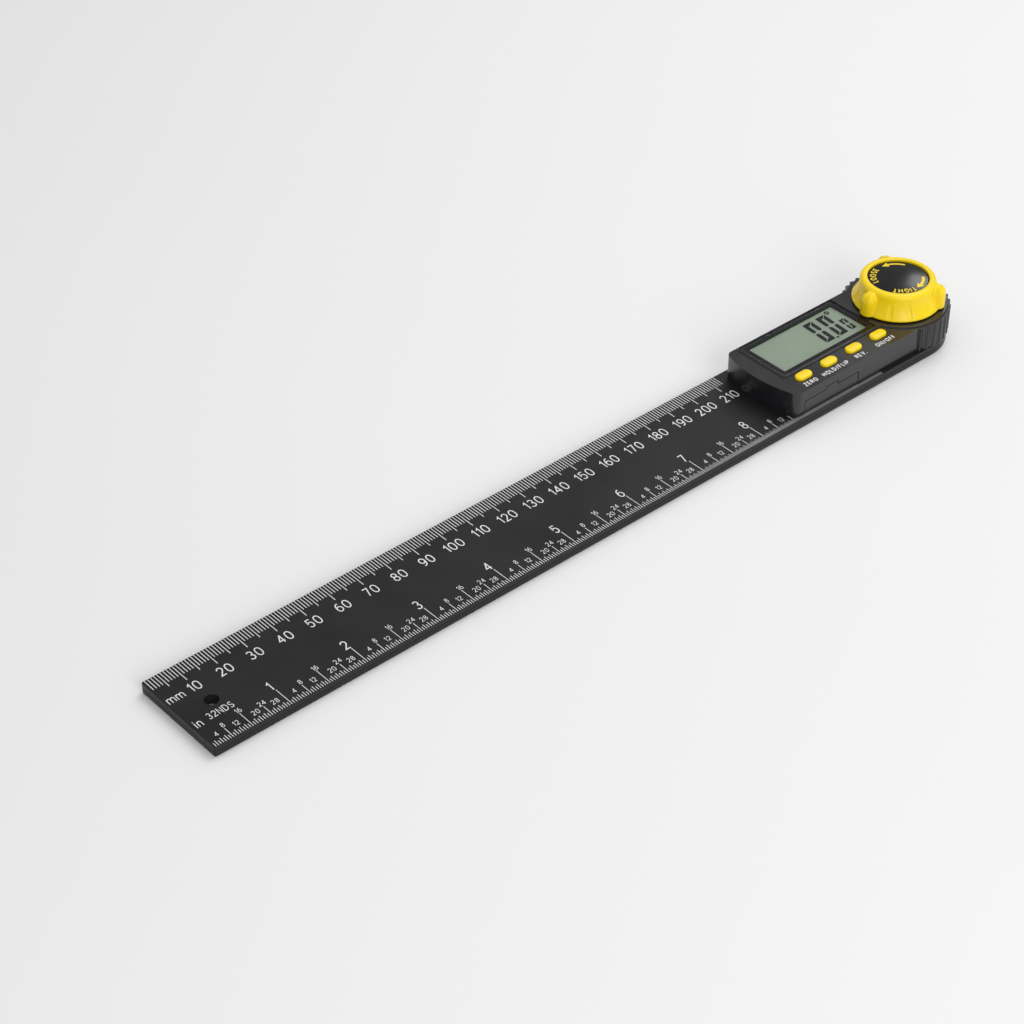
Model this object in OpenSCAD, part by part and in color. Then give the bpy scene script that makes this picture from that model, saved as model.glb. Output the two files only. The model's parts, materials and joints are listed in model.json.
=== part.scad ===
// Digital angle gauge: two anodised rule blades on one pivot, a measuring head and a lock knob.
// X runs along the blades towards the pivot, Y across them and Z up. The origin lies under the
// middle of the closed gauge, on the surface that it rests on. All sizes are in millimetres.

/* [Blades] */
// Length of a blade from its square end to the pivot axis
blade_length = 277.3; // [160:0.1:500]
// Width of a blade
blade_width = 33.5; // [32:0.1:44]
// Thickness of a blade
blade_t = 1.6; // [1.5:0.1:3]
// Running gap between the two blades
blade_gap = 0.1; // [0.06:0.01:0.3]
// Corner radius at a blade's square end
blade_corner_r = 0.6; // [0.2:0.1:3]
// Diameter of the hang hole
hang_hole_d = 4.2; // [3:0.1:7]
// Hang hole centre from the square end
hang_hole_inset = 10.3; // [6:0.1:40]
// Hang hole centre from the blade's centre line
hang_hole_offset = -1.1; // [-4:0.1:4]

/* [Pivot] */
// Diameter of the pivot bolt
bolt_d = 6; // [5:0.1:6.4]
// Diameter of the bolt's flat head
bolt_head_d = 13; // [10:0.1:14]
// Thickness of the bolt's flat head
bolt_head_t = 0.8; // [0.5:0.05:0.9]
// Width across the flats of the bolt's neck
bolt_neck_flats = 5; // [4:0.1:5]
// Wall of the bush that the bolt turns in
bush_wall = 1.5; // [1:0.1:2]
// Diameter of the bush's collar
bush_collar_d = 13; // [11:0.1:14]
// Thickness of the bush's collar
bush_collar_t = 0.8; // [0.5:0.1:1]
// Inner diameter of the friction washer between the blades
friction_washer_id = 15.5; // [14.5:0.1:17]
// Outer diameter of the friction washer between the blades
friction_washer_od = 25; // [20:0.1:30]
// Thickness of the friction washer
friction_washer_t = 0.45; // [0.3:0.05:0.5]
// Outer diameter of the clip that holds the rotor down
clip_d = 9.2; // [8.2:0.1:10]
// Thickness of the clip
clip_t = 0.6; // [0.4:0.1:0.8]
// Depth of the clip's groove in the bolt
clip_groove = 0.5; // [0.3:0.05:0.7]

/* [Head] */
// Outer wall of the head
wall = 1.6; // [1.2:0.1:2]
// Thickness of the head's roof over the buttons
roof_t = 1.4; // [1:0.1:1.6]
// Height of the display plate over the button strip
plate_rise = 0.5; // [0.3:0.05:0.8]
// Bevel around the display plate
plate_bevel = 0.5; // [0.2:0.05:0.6]
// Corner radius of the display plate
plate_corner_r = 1.6; // [1:0.1:3]
// Distance from the pivot axis to the head's near wall
head_near = 15.5; // [15.3:0.1:16.2]
// Width of the button strip
strip_w = 8.25; // [8:0.05:9]
// Land from the display lens to the bowed end
end_land = 6.75; // [6.5:0.05:12]
// Radius of the bowed end
end_bow_r = 44; // [36:1:90]
// Corner radius at the near end of the bowed end
near_corner_r = 3; // [2.2:0.1:4]
// Corner radius at the far end of the bowed end
far_corner_r = 2.4; // [2.2:0.1:4]
// Radius over the ridges of the round grip
grip_r = 17.2; // [16.8:0.1:18.5]
// Number of ridges in a full turn of the grip
grip_ridges = 36; // [24:4:48]
// Radius of the hollow between two ridges
grip_hollow_r = 1.6; // [1.2:0.1:2]
// Depth of the hollow between two ridges
grip_depth = 0.65; // [0.3:0.05:0.8]
// Thickness of the floor plate
floor_t = 1; // [0.8:0.1:1.4]

/* [Display] */
// Length of the display lens
lens_l = 40.7; // [40.2:0.1:60]
// Width of the display lens
lens_w = 19.7; // [19.5:0.1:24]
// Thickness of the display lens
lens_t = 0.5; // [0.4:0.05:1]
// Depth of the lens face below the plate
lens_sink = 0.15; // [0.05:0.05:0.3]
// Distance from the pivot axis to the lens
lens_to_pivot = 15.85; // [15.5:0.05:20]
// Land between the lens and the plate's near edge
lens_land = 1.1; // [0.9:0.05:2]
// Land between the lens and the head's far wall
lens_far_land = 0.75; // [0.7:0.05:2]
// Ledge that carries the lens
lens_ledge = 0.8; // [0.5:0.05:1]
// Visible window from the lens's left edge
window_from_left = 2.3; // [1.8:0.05:4]
// Visible window from the lens's right edge
window_from_right = 1.6; // [1.2:0.05:4]
// Visible window from the lens's near edge
window_from_near = 2.15; // [1.8:0.05:3]
// Visible window from the lens's far edge
window_from_far = 1.75; // [1.4:0.05:3]
// Thickness of the frame under the lens
frame_t = 0.55; // [0.3:0.05:0.8]
// Thickness of the display panel
panel_t = 1.45; // [1:0.05:2]
// Height of the rubber strips under the panel
zebra_h = 0.9; // [0.8:0.05:2]
// Width of a rubber strip
zebra_w = 1.4; // [0.8:0.1:1.6]

/* [Electronics] */
// Thickness of the circuit boards
board_t = 0.8; // [0.6:0.1:1.2]
// Width of the measuring ring on the floor
stator_w = 6.2; // [4:0.1:6.5]
// Radius of the measuring ring's outer edge
stator_r = 13.2; // [12.8:0.1:13.6]
// Gap between the measuring ring and the rotor
sensor_gap = 0.35; // [0.2:0.05:0.6]
// Radius of the rotor disc
rotor_r = 12.6; // [11:0.1:12.7]
// Radius of the rotor's hub
rotor_hub_r = 5.4; // [4.8:0.1:6]
// Height of the rotor's hub
rotor_hub_h = 2; // [1.6:0.1:2.4]
// Diameter of the controller chip
chip_d = 7; // [4:0.1:9]
// Height of the controller chip
chip_h = 0.7; // [0.4:0.1:0.8]
// Diameter of a switch dome
dome_d = 4; // [3:0.1:4.4]
// Height of a switch dome
dome_h = 0.4; // [0.3:0.05:0.5]

/* [Buttons] */
// Length of a button
button_l = 6.2; // [5:0.1:7]
// Width of a button
button_w = 3.4; // [2.6:0.1:3.6]
// Height of a button over the strip
button_rise = 1; // [0.6:0.05:1.6]
// Distance between buttons
button_pitch = 11; // [10.6:0.05:11.2]
// First button from the lens's left edge
button_first = 4.7; // [4.2:0.05:6]
// Button row from the near wall's face
button_row = 6; // [5.6:0.05:6.1]
// Rounded edge of a button's face
button_edge = 0.5; // [0.2:0.05:0.8]
// Foot that keeps a button in the head
button_foot = 0.55; // [0.4:0.05:0.6]

/* [Battery] */
// Diameter of the coin cell
cell_d = 20; // [16:0.1:20.2]
// Thickness of the coin cell
cell_t = 3.2; // [2:0.1:5]
// Side wall of the battery tray
tray_side = 1.8; // [1.4:0.1:2]
// Floor of the battery tray
tray_floor = 0.6; // [0.5:0.1:1.2]
// Middle of the battery tray from the lens's left edge
tray_from_lens = 11.35; // [11.2:0.05:16]
// Width of the tray's finger tab
tab_w = 5.2; // [4:0.1:9]
// Height of the finger tab over the door
tab_h = 1.1; // [0.5:0.1:1.4]
// Room for the contact over the cell
contact_room = 0.7; // [0.6:0.05:1.2]
// Thickness of the contact springs
contact_t = 0.2; // [0.15:0.05:0.3]

/* [Fasteners] */
// Diameter of the screws that hold the head on its blade
screw_d = 2; // [1.6:0.1:2.2]
// Head diameter of those screws
screw_head_d = 3.8; // [3:0.1:4]
// Length of those screws
screw_l = 6; // [5:0.5:7]
// Diameter of the bosses for those screws
boss_d = 3.8; // [3.6:0.1:4]
// Diameter of the circuit board's screws
board_screw_d = 1.2; // [1:0.1:1.4]
// Head diameter of the circuit board's screws
board_screw_head_d = 2.2; // [1.8:0.1:2.4]
// Head height of the circuit board's screws
board_screw_head_h = 0.5; // [0.3:0.1:0.55]

/* [Knob] */
// Radius of the knob's base
knob_base_r = 14.1; // [13.6:0.1:14.4]
// Radius of the knob under its lip
knob_neck_r = 12.05; // [11.8:0.05:12.6]
// Height of the knob
knob_h = 8.2; // [7.8:0.1:12]
// Height of the rim at the knob's base
knob_rim_h = 0.6; // [0.4:0.1:1]
// Height of the knob's flare over its rim
flare_h = 5.1; // [4.5:0.1:5.6]
// Rounding of the knob's lip
lip_round = 1.35; // [0.8:0.05:1.6]
// Wall of the knob
knob_wall = 1.6; // [1.2:0.1:1.8]
// Gap between the knob and the head
knob_gap = 0.4; // [0.3:0.05:0.8]
// Radius over the three lobes
lobe_reach = 15.4; // [14.8:0.1:15.8]
// Half width of a lobe
lobe_r = 2.3; // [1.8:0.1:2.5]
// Grooves between two lobes
grooves = 3; // [2:1:4]
// Angle between two grooves
groove_pitch = 27; // [20:1:28]
// Width of a groove
groove_w = 1.7; // [1:0.1:2.2]
// Depth of a groove at the foot of the knob's flare
groove_depth = 0.35; // [0.15:0.05:0.45]
// Rounding of a lobe's outer corner
lobe_round = 3.2; // [2.6:0.1:3.6]
// Depth of a lobe's top below the knob's top
lobe_drop = 0.6; // [0.55:0.05:1]
// Radius of the cap
cap_r = 9.7; // [9:0.1:10]
// Thickness of the cap at its edge
cap_t = 0.8; // [0.6:0.05:1]
// Depth of the cap's middle below the knob's top
cap_sink = 0.25; // [0.1:0.05:0.4]
// Height of the cap's dome
cap_dome = 0.4; // [0.1:0.05:0.6]
// Width across the flats of the nut
nut_flats = 10; // [9:0.1:10.4]
// Height of the nut
nut_h = 5; // [4:0.1:5.2]
// Radius of the boss around the nut
knob_boss_r = 7.4; // [7.2:0.1:8]
// Web under the nut
knob_web = 1.1; // [0.8:0.1:1.4]
// Outer diameter of the thrust washer under the knob
thrust_washer_d = 15; // [12:0.1:16]
// Thickness of the thrust washer
thrust_washer_t = 0.6; // [0.4:0.1:0.8]

/* [Clearances] */
// Radial clearance of the bolt in the bush and in the nut
running = 0.05; // [0.02:0.01:0.1]
// Clearance of fixed pieces in their seats
seat = 0.05; // [0.03:0.01:0.1]
// Clearance around the buttons
button_clear = 0.15; // [0.1:0.01:0.25]
// Clearance around the battery tray
tray_clear = 0.2; // [0.15:0.01:0.25]

/* [Hidden] */
$fn = 64;
// Overshoot of a cut past the face that it opens
cut = 1;
anodised = [0.16, 0.16, 0.17];
moulded = [0.22, 0.22, 0.24];
yellow = [0.96, 0.82, 0.12];

// Places along the gauge
left_x = -(blade_length + grip_r) / 2;
pivot_x = left_x + blade_length;
hang_x = left_x + hang_hole_inset;
lens_x1 = pivot_x - lens_to_pivot;
lens_x0 = lens_x1 - lens_l;
head_x0 = lens_x0 - end_land;
tray_x = lens_x0 + tray_from_lens;
tray_w = cell_d + 2 * tray_side;

// Places across the gauge
head_y0 = -head_near;
plate_y0 = head_y0 + strip_w;
lens_y0 = plate_y0 + lens_land;
lens_y1 = lens_y0 + lens_w;
head_y1 = lens_y1 + lens_far_land;
button_y = head_y0 + button_row;
cell_y = head_y0 + wall + tray_side / 2 + cell_d / 2;
tray_y1 = cell_y + cell_d / 2 + tray_side / 2;

// Heights, from the surface that the gauge rests on
upper_z = blade_t + blade_gap;
blade_top = upper_z + blade_t;
floor_top = blade_top + floor_t;
tray_z = blade_top + tray_clear;
cell_z = tray_z + tray_floor + seat;
board_z = cell_z + cell_t + contact_room;
board_top = board_z + board_t;
panel_z = board_top + zebra_h;
frame_z = panel_z + panel_t + seat;
lens_z = frame_z + frame_t + seat;
plate_z = lens_z + lens_t + lens_sink;
strip_z = plate_z - plate_rise;
roof_z = strip_z - roof_t;
door_top = cell_z + cell_t + contact_room;

// Sensor stack around the pivot
bush_r = bolt_d / 2 + running + bush_wall;
bush_top = blade_top + bush_collar_t;
stator_z = floor_top + seat;
rotor_z = stator_z + board_t + sensor_gap;
hub_z = bush_top + 2 * running;
hub_top = max(hub_z + rotor_hub_h, rotor_z + board_t);
clip_z = hub_top + seat;

// Knob stack
knob_z = plate_z + knob_gap;
thrust_seat_z = plate_z - thrust_washer_t / 2;
boss_z = thrust_seat_z + thrust_washer_t + 2 * running;
nut_z = boss_z + knob_web + seat;
knob_top = knob_z + knob_h;
cap_z = knob_top - cap_sink - cap_dome - cap_t;
bolt_top = cap_z - 2 * seat;
neck_z = knob_top - lip_round;
rim_z = knob_z + knob_rim_h;

deck_z = cap_z - knob_wall;
nut_r = nut_flats / 2 / cos(30);
lobe_angle = 60;
lip_steps = 3;
knob_edge = 0.25;
knob_ribs = 6;
rib_t = 1;
// Bend of the knob's flare: 1 is a straight cone
flare_bend = 1.7;
flare_steps = 6;
lobe_steps = 4;

// Small sizes inside the head
dome_shell = 0.1;
dome_steps = 8;
button_stem_d = 1.8;
contact_w = 3;
chip_gap = 1;
pole_step = 0.3;
tray_rim_h = 0.6 * cell_t;
// Clearance of the bolt where nothing guides it
bolt_free = 4 * running;
// Clearance of a screw's head in its countersink
countersink_room = 4 * seat;
// Half width of the clip's mouth against its inner radius
clip_mouth = 0.8;

// Header between the measuring ring and the circuit board
header_x = lens_x1 - 0.6;
header_w = 1.6;
header_l = 8;
tongue_w = 10;

// Screw places: [x, y] of the head's screws and of the circuit board's screws
boss_in = boss_d / 2 + wall / 2;
screw_from_end = 3.9;
screw_from_near = 5;
screw_from_far = 4.3;
screw_from_lens = 3.4;
head_screws = [
    [head_x0 + screw_from_end, head_y0 + screw_from_near],
    [head_x0 + screw_from_end, head_y1 - screw_from_far],
    [lens_x1 + screw_from_lens, head_y0 + boss_in],
    [lens_x1 + screw_from_lens, head_y1 - boss_in]
];
board_screw_from_lens = 1.5;
board_screws_at = [
    [lens_x0 - board_screw_from_lens, (lens_y0 + lens_y1) / 2],
    [button_x(0) + button_pitch / 2, button_y],
    [button_x(2) + button_pitch / 2, button_y],
    [lens_x1 + board_screw_from_lens, (lens_y0 + lens_y1) / 2]
];
board_boss_wall = 0.2;
board_boss_r = board_screw_head_d / 2 + board_boss_wall;
// Length of a board screw in its boss
board_screw_bite = 0.8 * (roof_z - board_top);

// Edges of the circuit board
board_margin = 0.6;
board_x0 = board_screws_at[0].x - board_boss_r;
board_x1 = board_screws_at[3].x + board_boss_r;
board_y0 = head_y0 + wall + board_margin;
board_y1 = head_y1 - wall - board_margin;

// Place of a button along the gauge
function button_x(i) = lens_x0 + button_first + i * button_pitch;

// Outline of a blade: a square end with small corners and a round end about the pivot
module blade_outline() {
    c = blade_corner_r;
    translate([left_x + c, -blade_width / 2]) square([blade_length - c, blade_width]);
    translate([left_x, c - blade_width / 2]) square([2 * c, blade_width - 2 * c]);
    for (side = [-1, 1]) translate([left_x + c, side * (blade_width / 2 - c)]) circle(c);
    translate([pivot_x, 0]) circle(d = blade_width);
}

// Upright hole from height z, open at both faces of a plate of thickness t
module hole(x, y, z, t, r) {
    translate([x, y, z - cut]) cylinder(r = r, h = t + 2 * cut);
}

// Cross-section of the bolt's neck, flat on two sides
module neck_outline(clearance) {
    intersection() {
        circle(r = bolt_d / 2 + clearance);
        square([bolt_d + cut, bolt_neck_flats + 2 * clearance], center = true);
    }
}

// Outline with round ends, length l and width w, along X
module stadium(l, w) {
    square([l - w, w], center = true);
    for (side = [-1, 1]) translate([side * (l - w) / 2, 0]) circle(d = w);
}

// Grip outline about the pivot: a circle with hollows between its ridges
module grip_outline() {
    difference() {
        circle(grip_r);
        for (i = [0:grip_ridges - 1])
            rotate((i + 0.5) * 360 / grip_ridges)
                translate([grip_r - grip_depth + grip_hollow_r, 0]) circle(grip_hollow_r, $fn = 32);
    }
}

// Outline of the head, moved inwards by inset: a bowed end, straight sides and the round grip
module head_outline(inset) {
    bow = end_bow_r - inset;
    y0 = head_y0 + inset;
    y1 = head_y1 - inset;
    near_r = near_corner_r - inset;
    far_r = far_corner_r - inset;
    bow_c = [head_x0 + end_bow_r, 0];
    past = 1.5;
    near_c = [bow_c.x - sqrt(pow(bow - near_r, 2) - pow(y0 + near_r, 2)), y0 + near_r];
    far_c = [bow_c.x - sqrt(pow(bow - far_r, 2) - pow(y1 - far_r, 2)), y1 - far_r];
    intersection() {
        translate(bow_c) circle(bow, $fn = 180);
        polygon([bow_c, bow_c + past * (far_c - bow_c), bow_c + past * (near_c - bow_c)]);
    }
    translate(near_c) circle(near_r);
    translate(far_c) circle(far_r);
    polygon([[near_c.x, y0], [pivot_x, y0], [pivot_x, y1], [far_c.x, y1], far_c, near_c]);
    translate([pivot_x, 0]) {
        if (inset == 0) grip_outline();
        else circle(grip_r - grip_depth - inset);
    }
}

module upper_blade() {
    color(anodised) difference() {
        translate([0, 0, upper_z]) linear_extrude(blade_t) blade_outline();
        hole(hang_x, hang_hole_offset, upper_z, blade_t, hang_hole_d / 2);
        hole(pivot_x, 0, upper_z, blade_t, bush_r + seat);
        for (p = head_screws) {
            hole(p.x, p.y, upper_z, blade_t, screw_d / 2 + 2 * seat);
            translate([p.x, p.y, upper_z - seat]) screw_cone(countersink_room);
        }
    }
}

module lower_blade() {
    color(anodised) difference() {
        linear_extrude(blade_t) blade_outline();
        hole(hang_x, hang_hole_offset, 0, blade_t, hang_hole_d / 2);
        translate([pivot_x, 0, -cut]) linear_extrude(blade_t + 2 * cut) neck_outline(seat);
        translate([pivot_x, 0, -cut])
            cylinder(d = bolt_head_d + 2 * seat, h = cut + bolt_head_t + 2 * seat);
        translate([pivot_x, 0, upper_z - blade_gap / 2 - friction_washer_t]) difference() {
            cylinder(d = friction_washer_od + 2 * seat, h = friction_washer_t + cut);
            translate([0, 0, -cut])
                cylinder(d = friction_washer_id - 2 * seat, h = friction_washer_t + 3 * cut);
        }
    }
}

module friction_washer() {
    color("ivory") translate([pivot_x, 0, upper_z - blade_gap / 2 - friction_washer_t]) difference() {
        cylinder(d = friction_washer_od, h = friction_washer_t);
        translate([0, 0, -cut]) cylinder(d = friction_washer_id, h = friction_washer_t + 2 * cut);
    }
}

module pivot_bolt() {
    color("silver") translate([pivot_x, 0, 0]) difference() {
        union() {
            translate([0, 0, seat]) cylinder(d = bolt_head_d, h = bolt_head_t);
            translate([0, 0, seat]) linear_extrude(blade_t) neck_outline(0);
            translate([0, 0, blade_t]) cylinder(d = bolt_d, h = bolt_top - blade_t);
        }
        translate([0, 0, clip_z]) difference() {
            cylinder(d = bolt_d + cut, h = clip_t + seat);
            translate([0, 0, -cut]) cylinder(r = bolt_d / 2 - clip_groove, h = clip_t + 3 * cut);
        }
    }
}

module pivot_bush() {
    color("goldenrod") translate([pivot_x, 0, 0]) difference() {
        union() {
            translate([0, 0, upper_z + seat]) cylinder(r = bush_r, h = blade_t);
            translate([0, 0, blade_top]) cylinder(d = bush_collar_d, h = bush_collar_t);
        }
        translate([0, 0, upper_z - cut])
            cylinder(r = bolt_d / 2 + running, h = blade_t + bush_collar_t + 2 * cut);
    }
}

module retaining_clip() {
    inner_r = bolt_d / 2 - clip_groove + seat;
    color("dimgray") translate([pivot_x, 0, clip_z + seat / 2]) linear_extrude(clip_t) difference() {
        circle(d = clip_d);
        circle(inner_r);
        translate([0, -clip_mouth * inner_r]) square([clip_d, 2 * clip_mouth * inner_r]);
    }
}

// Shell of the head: the roof and its walls, with bosses that hang from the roof
module housing_shell() {
    color(moulded) difference() {
        union() {
            difference() {
                union() {
                    translate([0, 0, blade_top]) linear_extrude(strip_z - blade_top) head_outline(0);
                    display_plate();
                    grip_plate();
                }
                translate([0, 0, blade_top - cut])
                    linear_extrude(roof_z - blade_top + cut) head_outline(wall);
            }
            for (p = head_screws)
                translate([p.x, p.y, blade_top]) cylinder(d = boss_d, h = roof_z - blade_top + seat);
            for (p = board_screws_at)
                translate([p.x, p.y, board_top + seat])
                    cylinder(r = board_boss_r, h = roof_z - board_top);
        }
        lens_seat();
        for (i = [0:3])
            translate([button_x(i), button_y, roof_z - cut])
                linear_extrude(roof_t + 2 * cut)
                    stadium(button_l + 2 * button_clear, button_w + 2 * button_clear);
        tray_door_cut();
        hole(pivot_x, 0, roof_z, plate_z - roof_z, bolt_d / 2 + bolt_free);
        translate([pivot_x, 0, thrust_seat_z - seat])
            cylinder(d = thrust_washer_d + 2 * seat, h = thrust_washer_t + cut);
        for (p = head_screws)
            translate([p.x, p.y, blade_top - cut]) cylinder(d = screw_d + 2 * seat, h = screw_l + cut);
        for (p = board_screws_at) translate([p.x, p.y, board_top - cut])
            cylinder(d = board_screw_d + 2 * seat, h = roof_z - board_top + cut);
    }
}

// Raised plate around the display, with a bevel
module display_plate() {
    x0 = lens_x0 - lens_land;
    y1 = head_y1 - plate_bevel / 2;
    r = plate_corner_r;
    hull() {
        for (x = [x0 + r, pivot_x - r], y = [plate_y0 + r, y1 - r]) {
            translate([x, y, strip_z - plate_rise]) cylinder(r = r, h = plate_rise, $fn = 32);
            translate([x, y, strip_z]) cylinder(r = r - plate_bevel, h = plate_rise, $fn = 32);
        }
    }
}

// Raised round plate under the knob, with a bevel
module grip_plate() {
    r = grip_r - grip_depth;
    translate([pivot_x, 0, 0]) rotate_extrude($fn = 128)
        polygon([[0, strip_z - plate_rise], [r, strip_z - plate_rise], [r, strip_z],
            [r - plate_bevel, plate_z], [0, plate_z]]);
}

// Seat of the lens and the opening for the display below it
module lens_seat() {
    translate([lens_x0 - seat, lens_y0 - seat, lens_z - seat])
        cube([lens_l + 2 * seat, lens_w + 2 * seat, lens_t + lens_sink + cut]);
    inner = lens_ledge - seat;
    translate([lens_x0 + inner, lens_y0 + inner, board_top])
        cube([lens_l - 2 * inner, lens_w - 2 * inner, lens_z - board_top]);
}

// Outline of the tray's door in X and Z, grown by clearance
module door_outline(clearance) {
    low = tray_z - 2 * clearance;
    high = door_top + clearance;
    translate([tray_x - tray_w / 2 - clearance, low]) square([tray_w + 2 * clearance, high - low]);
    translate([tray_x - tab_w / 2 - clearance, low]) square([tab_w + 2 * clearance, high + tab_h - low]);
}

module tray_door_cut() {
    translate([0, head_y0 + wall + cut, 0]) rotate([90, 0, 0])
        linear_extrude(wall + 2 * cut) door_outline(tray_clear);
}

// Floor of the head: a plate on the upper blade, open where the battery tray slides in
module housing_floor() {
    bay_w = tray_w + 2 * tray_clear;
    color(moulded) difference() {
        translate([0, 0, blade_top]) linear_extrude(floor_t) head_outline(wall + seat);
        translate([tray_x - bay_w / 2, head_y0, blade_top - cut])
            cube([bay_w, tray_y1 + tray_clear - head_y0, floor_t + 2 * cut]);
        hole(pivot_x, 0, blade_top, floor_t, bush_collar_d / 2 + 2 * seat);
        for (p = head_screws) hole(p.x, p.y, blade_top, floor_t, boss_d / 2 + seat);
    }
}

// Countersunk head of a screw, wide at the bottom
module screw_cone(clearance) {
    h = (screw_head_d - screw_d) / 2;
    cylinder(d1 = screw_head_d + 2 * clearance, d2 = screw_d + 2 * clearance, h = h);
}

module housing_screws() {
    color("dimgray") for (p = head_screws) translate([p.x, p.y, upper_z + seat]) {
        screw_cone(0);
        cylinder(d = screw_d, h = screw_l);
    }
}

module display_lens() {
    color([0.7, 0.75, 0.75, 0.4]) translate([lens_x0, lens_y0, lens_z]) cube([lens_l, lens_w, lens_t]);
}

// Block with the display's own outline, from height z
module display_block(z, t) {
    translate([lens_x0 + lens_ledge, lens_y0 + lens_ledge, z])
        cube([lens_l - 2 * lens_ledge, lens_w - 2 * lens_ledge, t]);
}

module display_frame() {
    window_l = lens_l - window_from_left - window_from_right;
    window_w = lens_w - window_from_near - window_from_far;
    color("black") difference() {
        display_block(frame_z, frame_t);
        translate([lens_x0 + window_from_left, lens_y0 + window_from_near, frame_z - cut])
            cube([window_l, window_w, frame_t + 2 * cut]);
    }
}

module display_panel() {
    color([0.54, 0.59, 0.52]) display_block(panel_z, panel_t);
}

module zebra_strips() {
    color("dimgray") for (y = [lens_y0 + lens_ledge, lens_y1 - lens_ledge - zebra_w])
        translate([lens_x0 + 2 * lens_ledge, y, board_top])
            cube([lens_l - 4 * lens_ledge, zebra_w, zebra_h]);
}

module circuit_board() {
    color("darkgreen") difference() {
        translate([board_x0, board_y0, board_z])
            cube([board_x1 - board_x0, board_y1 - board_y0, board_t]);
        for (p = board_screws_at) hole(p.x, p.y, board_z, board_t, board_screw_d / 2 + seat);
        for (p = head_screws) hole(p.x, p.y, board_z, board_t, boss_d / 2 + tray_clear);
    }
}

module board_screws() {
    color("silver") for (p = board_screws_at) translate([p.x, p.y, board_z - board_screw_head_h]) {
        cylinder(d = board_screw_head_d, h = board_screw_head_h);
        cylinder(d = board_screw_d, h = board_screw_head_h + board_t + board_screw_bite);
    }
}

// Half section of a low dome of radius r and height h, as points from its rim to its crown
function dome_arc(r, h) = let (ball = (r * r + h * h) / (2 * h), half = asin(r / ball))
    [for (i = [dome_steps:-1:0]) let (a = half * i / dome_steps)
        [ball * sin(a), h - ball * (1 - cos(a))]];

// Controller under its drop of resin, below the board and beside the tray
module controller_chip() {
    chip_x = tray_x + tray_w / 2 + tray_clear + chip_d / 2 + chip_gap;
    color("black") translate([chip_x, 0, board_z]) mirror([0, 0, 1]) rotate_extrude()
        polygon(concat([[0, 0]], dome_arc(chip_d / 2, chip_h)));
}

// Measuring ring on the floor, with a tongue for its header
module sensor_stator() {
    color("seagreen") translate([pivot_x, 0, stator_z - seat]) linear_extrude(board_t) difference() {
        union() {
            circle(stator_r);
            translate([header_x - pivot_x - 1, -tongue_w / 2]) square([pivot_x - header_x, tongue_w]);
        }
        circle(stator_r - stator_w);
    }
}

module sensor_header() {
    low = stator_z - seat + board_t;
    color("black") translate([header_x - header_w / 2, -header_l / 2, low])
        cube([header_w, header_l, board_z - low]);
}

module sensor_rotor() {
    color("khaki") translate([pivot_x, 0, 0]) difference() {
        union() {
            translate([0, 0, rotor_z]) cylinder(r = rotor_r, h = board_t);
            translate([0, 0, hub_z]) cylinder(r = rotor_hub_r, h = hub_top - hub_z);
        }
        translate([0, 0, hub_z - cut]) cylinder(r = bolt_d / 2 + running, h = hub_top - hub_z + 2 * cut);
    }
}

// Snap dome under a button: a shallow spring-steel shell
module switch_dome(i) {
    inner = dome_arc(dome_d / 2 - dome_shell, dome_h - dome_shell);
    color("silver") translate([button_x(i), button_y, board_top]) rotate_extrude()
        polygon(concat(dome_arc(dome_d / 2, dome_h), [for (k = [dome_steps:-1:0]) inner[k]]));
}

module dome_zero() { switch_dome(0); }
module dome_hold() { switch_dome(1); }
module dome_reverse() { switch_dome(2); }
module dome_power() { switch_dome(3); }

// Button with a softened face, a foot that keeps it under the roof and a stem over its dome
module push_button(i) {
    foot_top = roof_z - button_clear;
    foot_z = foot_top - button_foot;
    stem_z = board_top + dome_h + seat;
    face_z = strip_z + button_rise;
    color(yellow) translate([button_x(i), button_y, 0]) {
        hull() {
            translate([0, 0, foot_z]) linear_extrude(face_z - button_edge - foot_z)
                stadium(button_l, button_w, $fn = 32);
            translate([0, 0, foot_z]) linear_extrude(face_z - foot_z)
                stadium(button_l - 2 * button_edge, button_w - 2 * button_edge, $fn = 32);
        }
        translate([0, 0, foot_z]) linear_extrude(button_foot)
            stadium(button_l + 2 * button_foot, button_w + 2 * button_foot);
        translate([0, 0, stem_z]) cylinder(d = button_stem_d, h = foot_z - stem_z + seat);
    }
}

module button_zero() { push_button(0); }
module button_hold() { push_button(1); }
module button_reverse() { push_button(2); }
module button_power() { push_button(3); }

// Sliding tray: a door that closes the near wall and a pocket for the cell, open at its far end
module battery_tray() {
    body_y0 = head_y0 + wall - seat;
    color(moulded) difference() {
        union() {
            translate([0, head_y0 + wall, 0]) rotate([90, 0, 0]) linear_extrude(wall) door_outline(0);
            translate([tray_x - tray_w / 2, body_y0, tray_z])
                cube([tray_w, tray_y1 - body_y0, tray_floor + seat + tray_rim_h]);
        }
        translate([tray_x, cell_y, cell_z - seat])
            cylinder(d = cell_d + 2 * tray_clear, h = cell_t + cut);
        translate([tray_x - cell_d / 4, cell_y, cell_z - seat]) cube([cell_d / 2, cell_d, cell_t + cut]);
    }
}

// Coin cell: the can and the smaller pole on its upper face
module coin_cell() {
    color("silver") translate([tray_x, cell_y, cell_z]) {
        cylinder(d = cell_d, h = cell_t - pole_step);
        cylinder(d = cell_d - 8 * pole_step, h = cell_t);
    }
}

// Leaf spring on the board's underside that reaches down to the cell
module contact_top() {
    reach = cell_d / 4;
    low = contact_room - tray_clear / 2;
    tip = reach + contact_w / 2;
    color("gold") translate([tray_x, cell_y + contact_w / 2, board_z]) rotate([90, 0, 0])
        linear_extrude(contact_w) polygon([
            [-2 * reach, 0], [-reach, 0], [reach, contact_t - low], [tip, 2 * contact_t - low],
            [tip, contact_t - low], [reach, -low], [-reach, -contact_t], [-2 * reach, -contact_t]
        ]);
}

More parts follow.
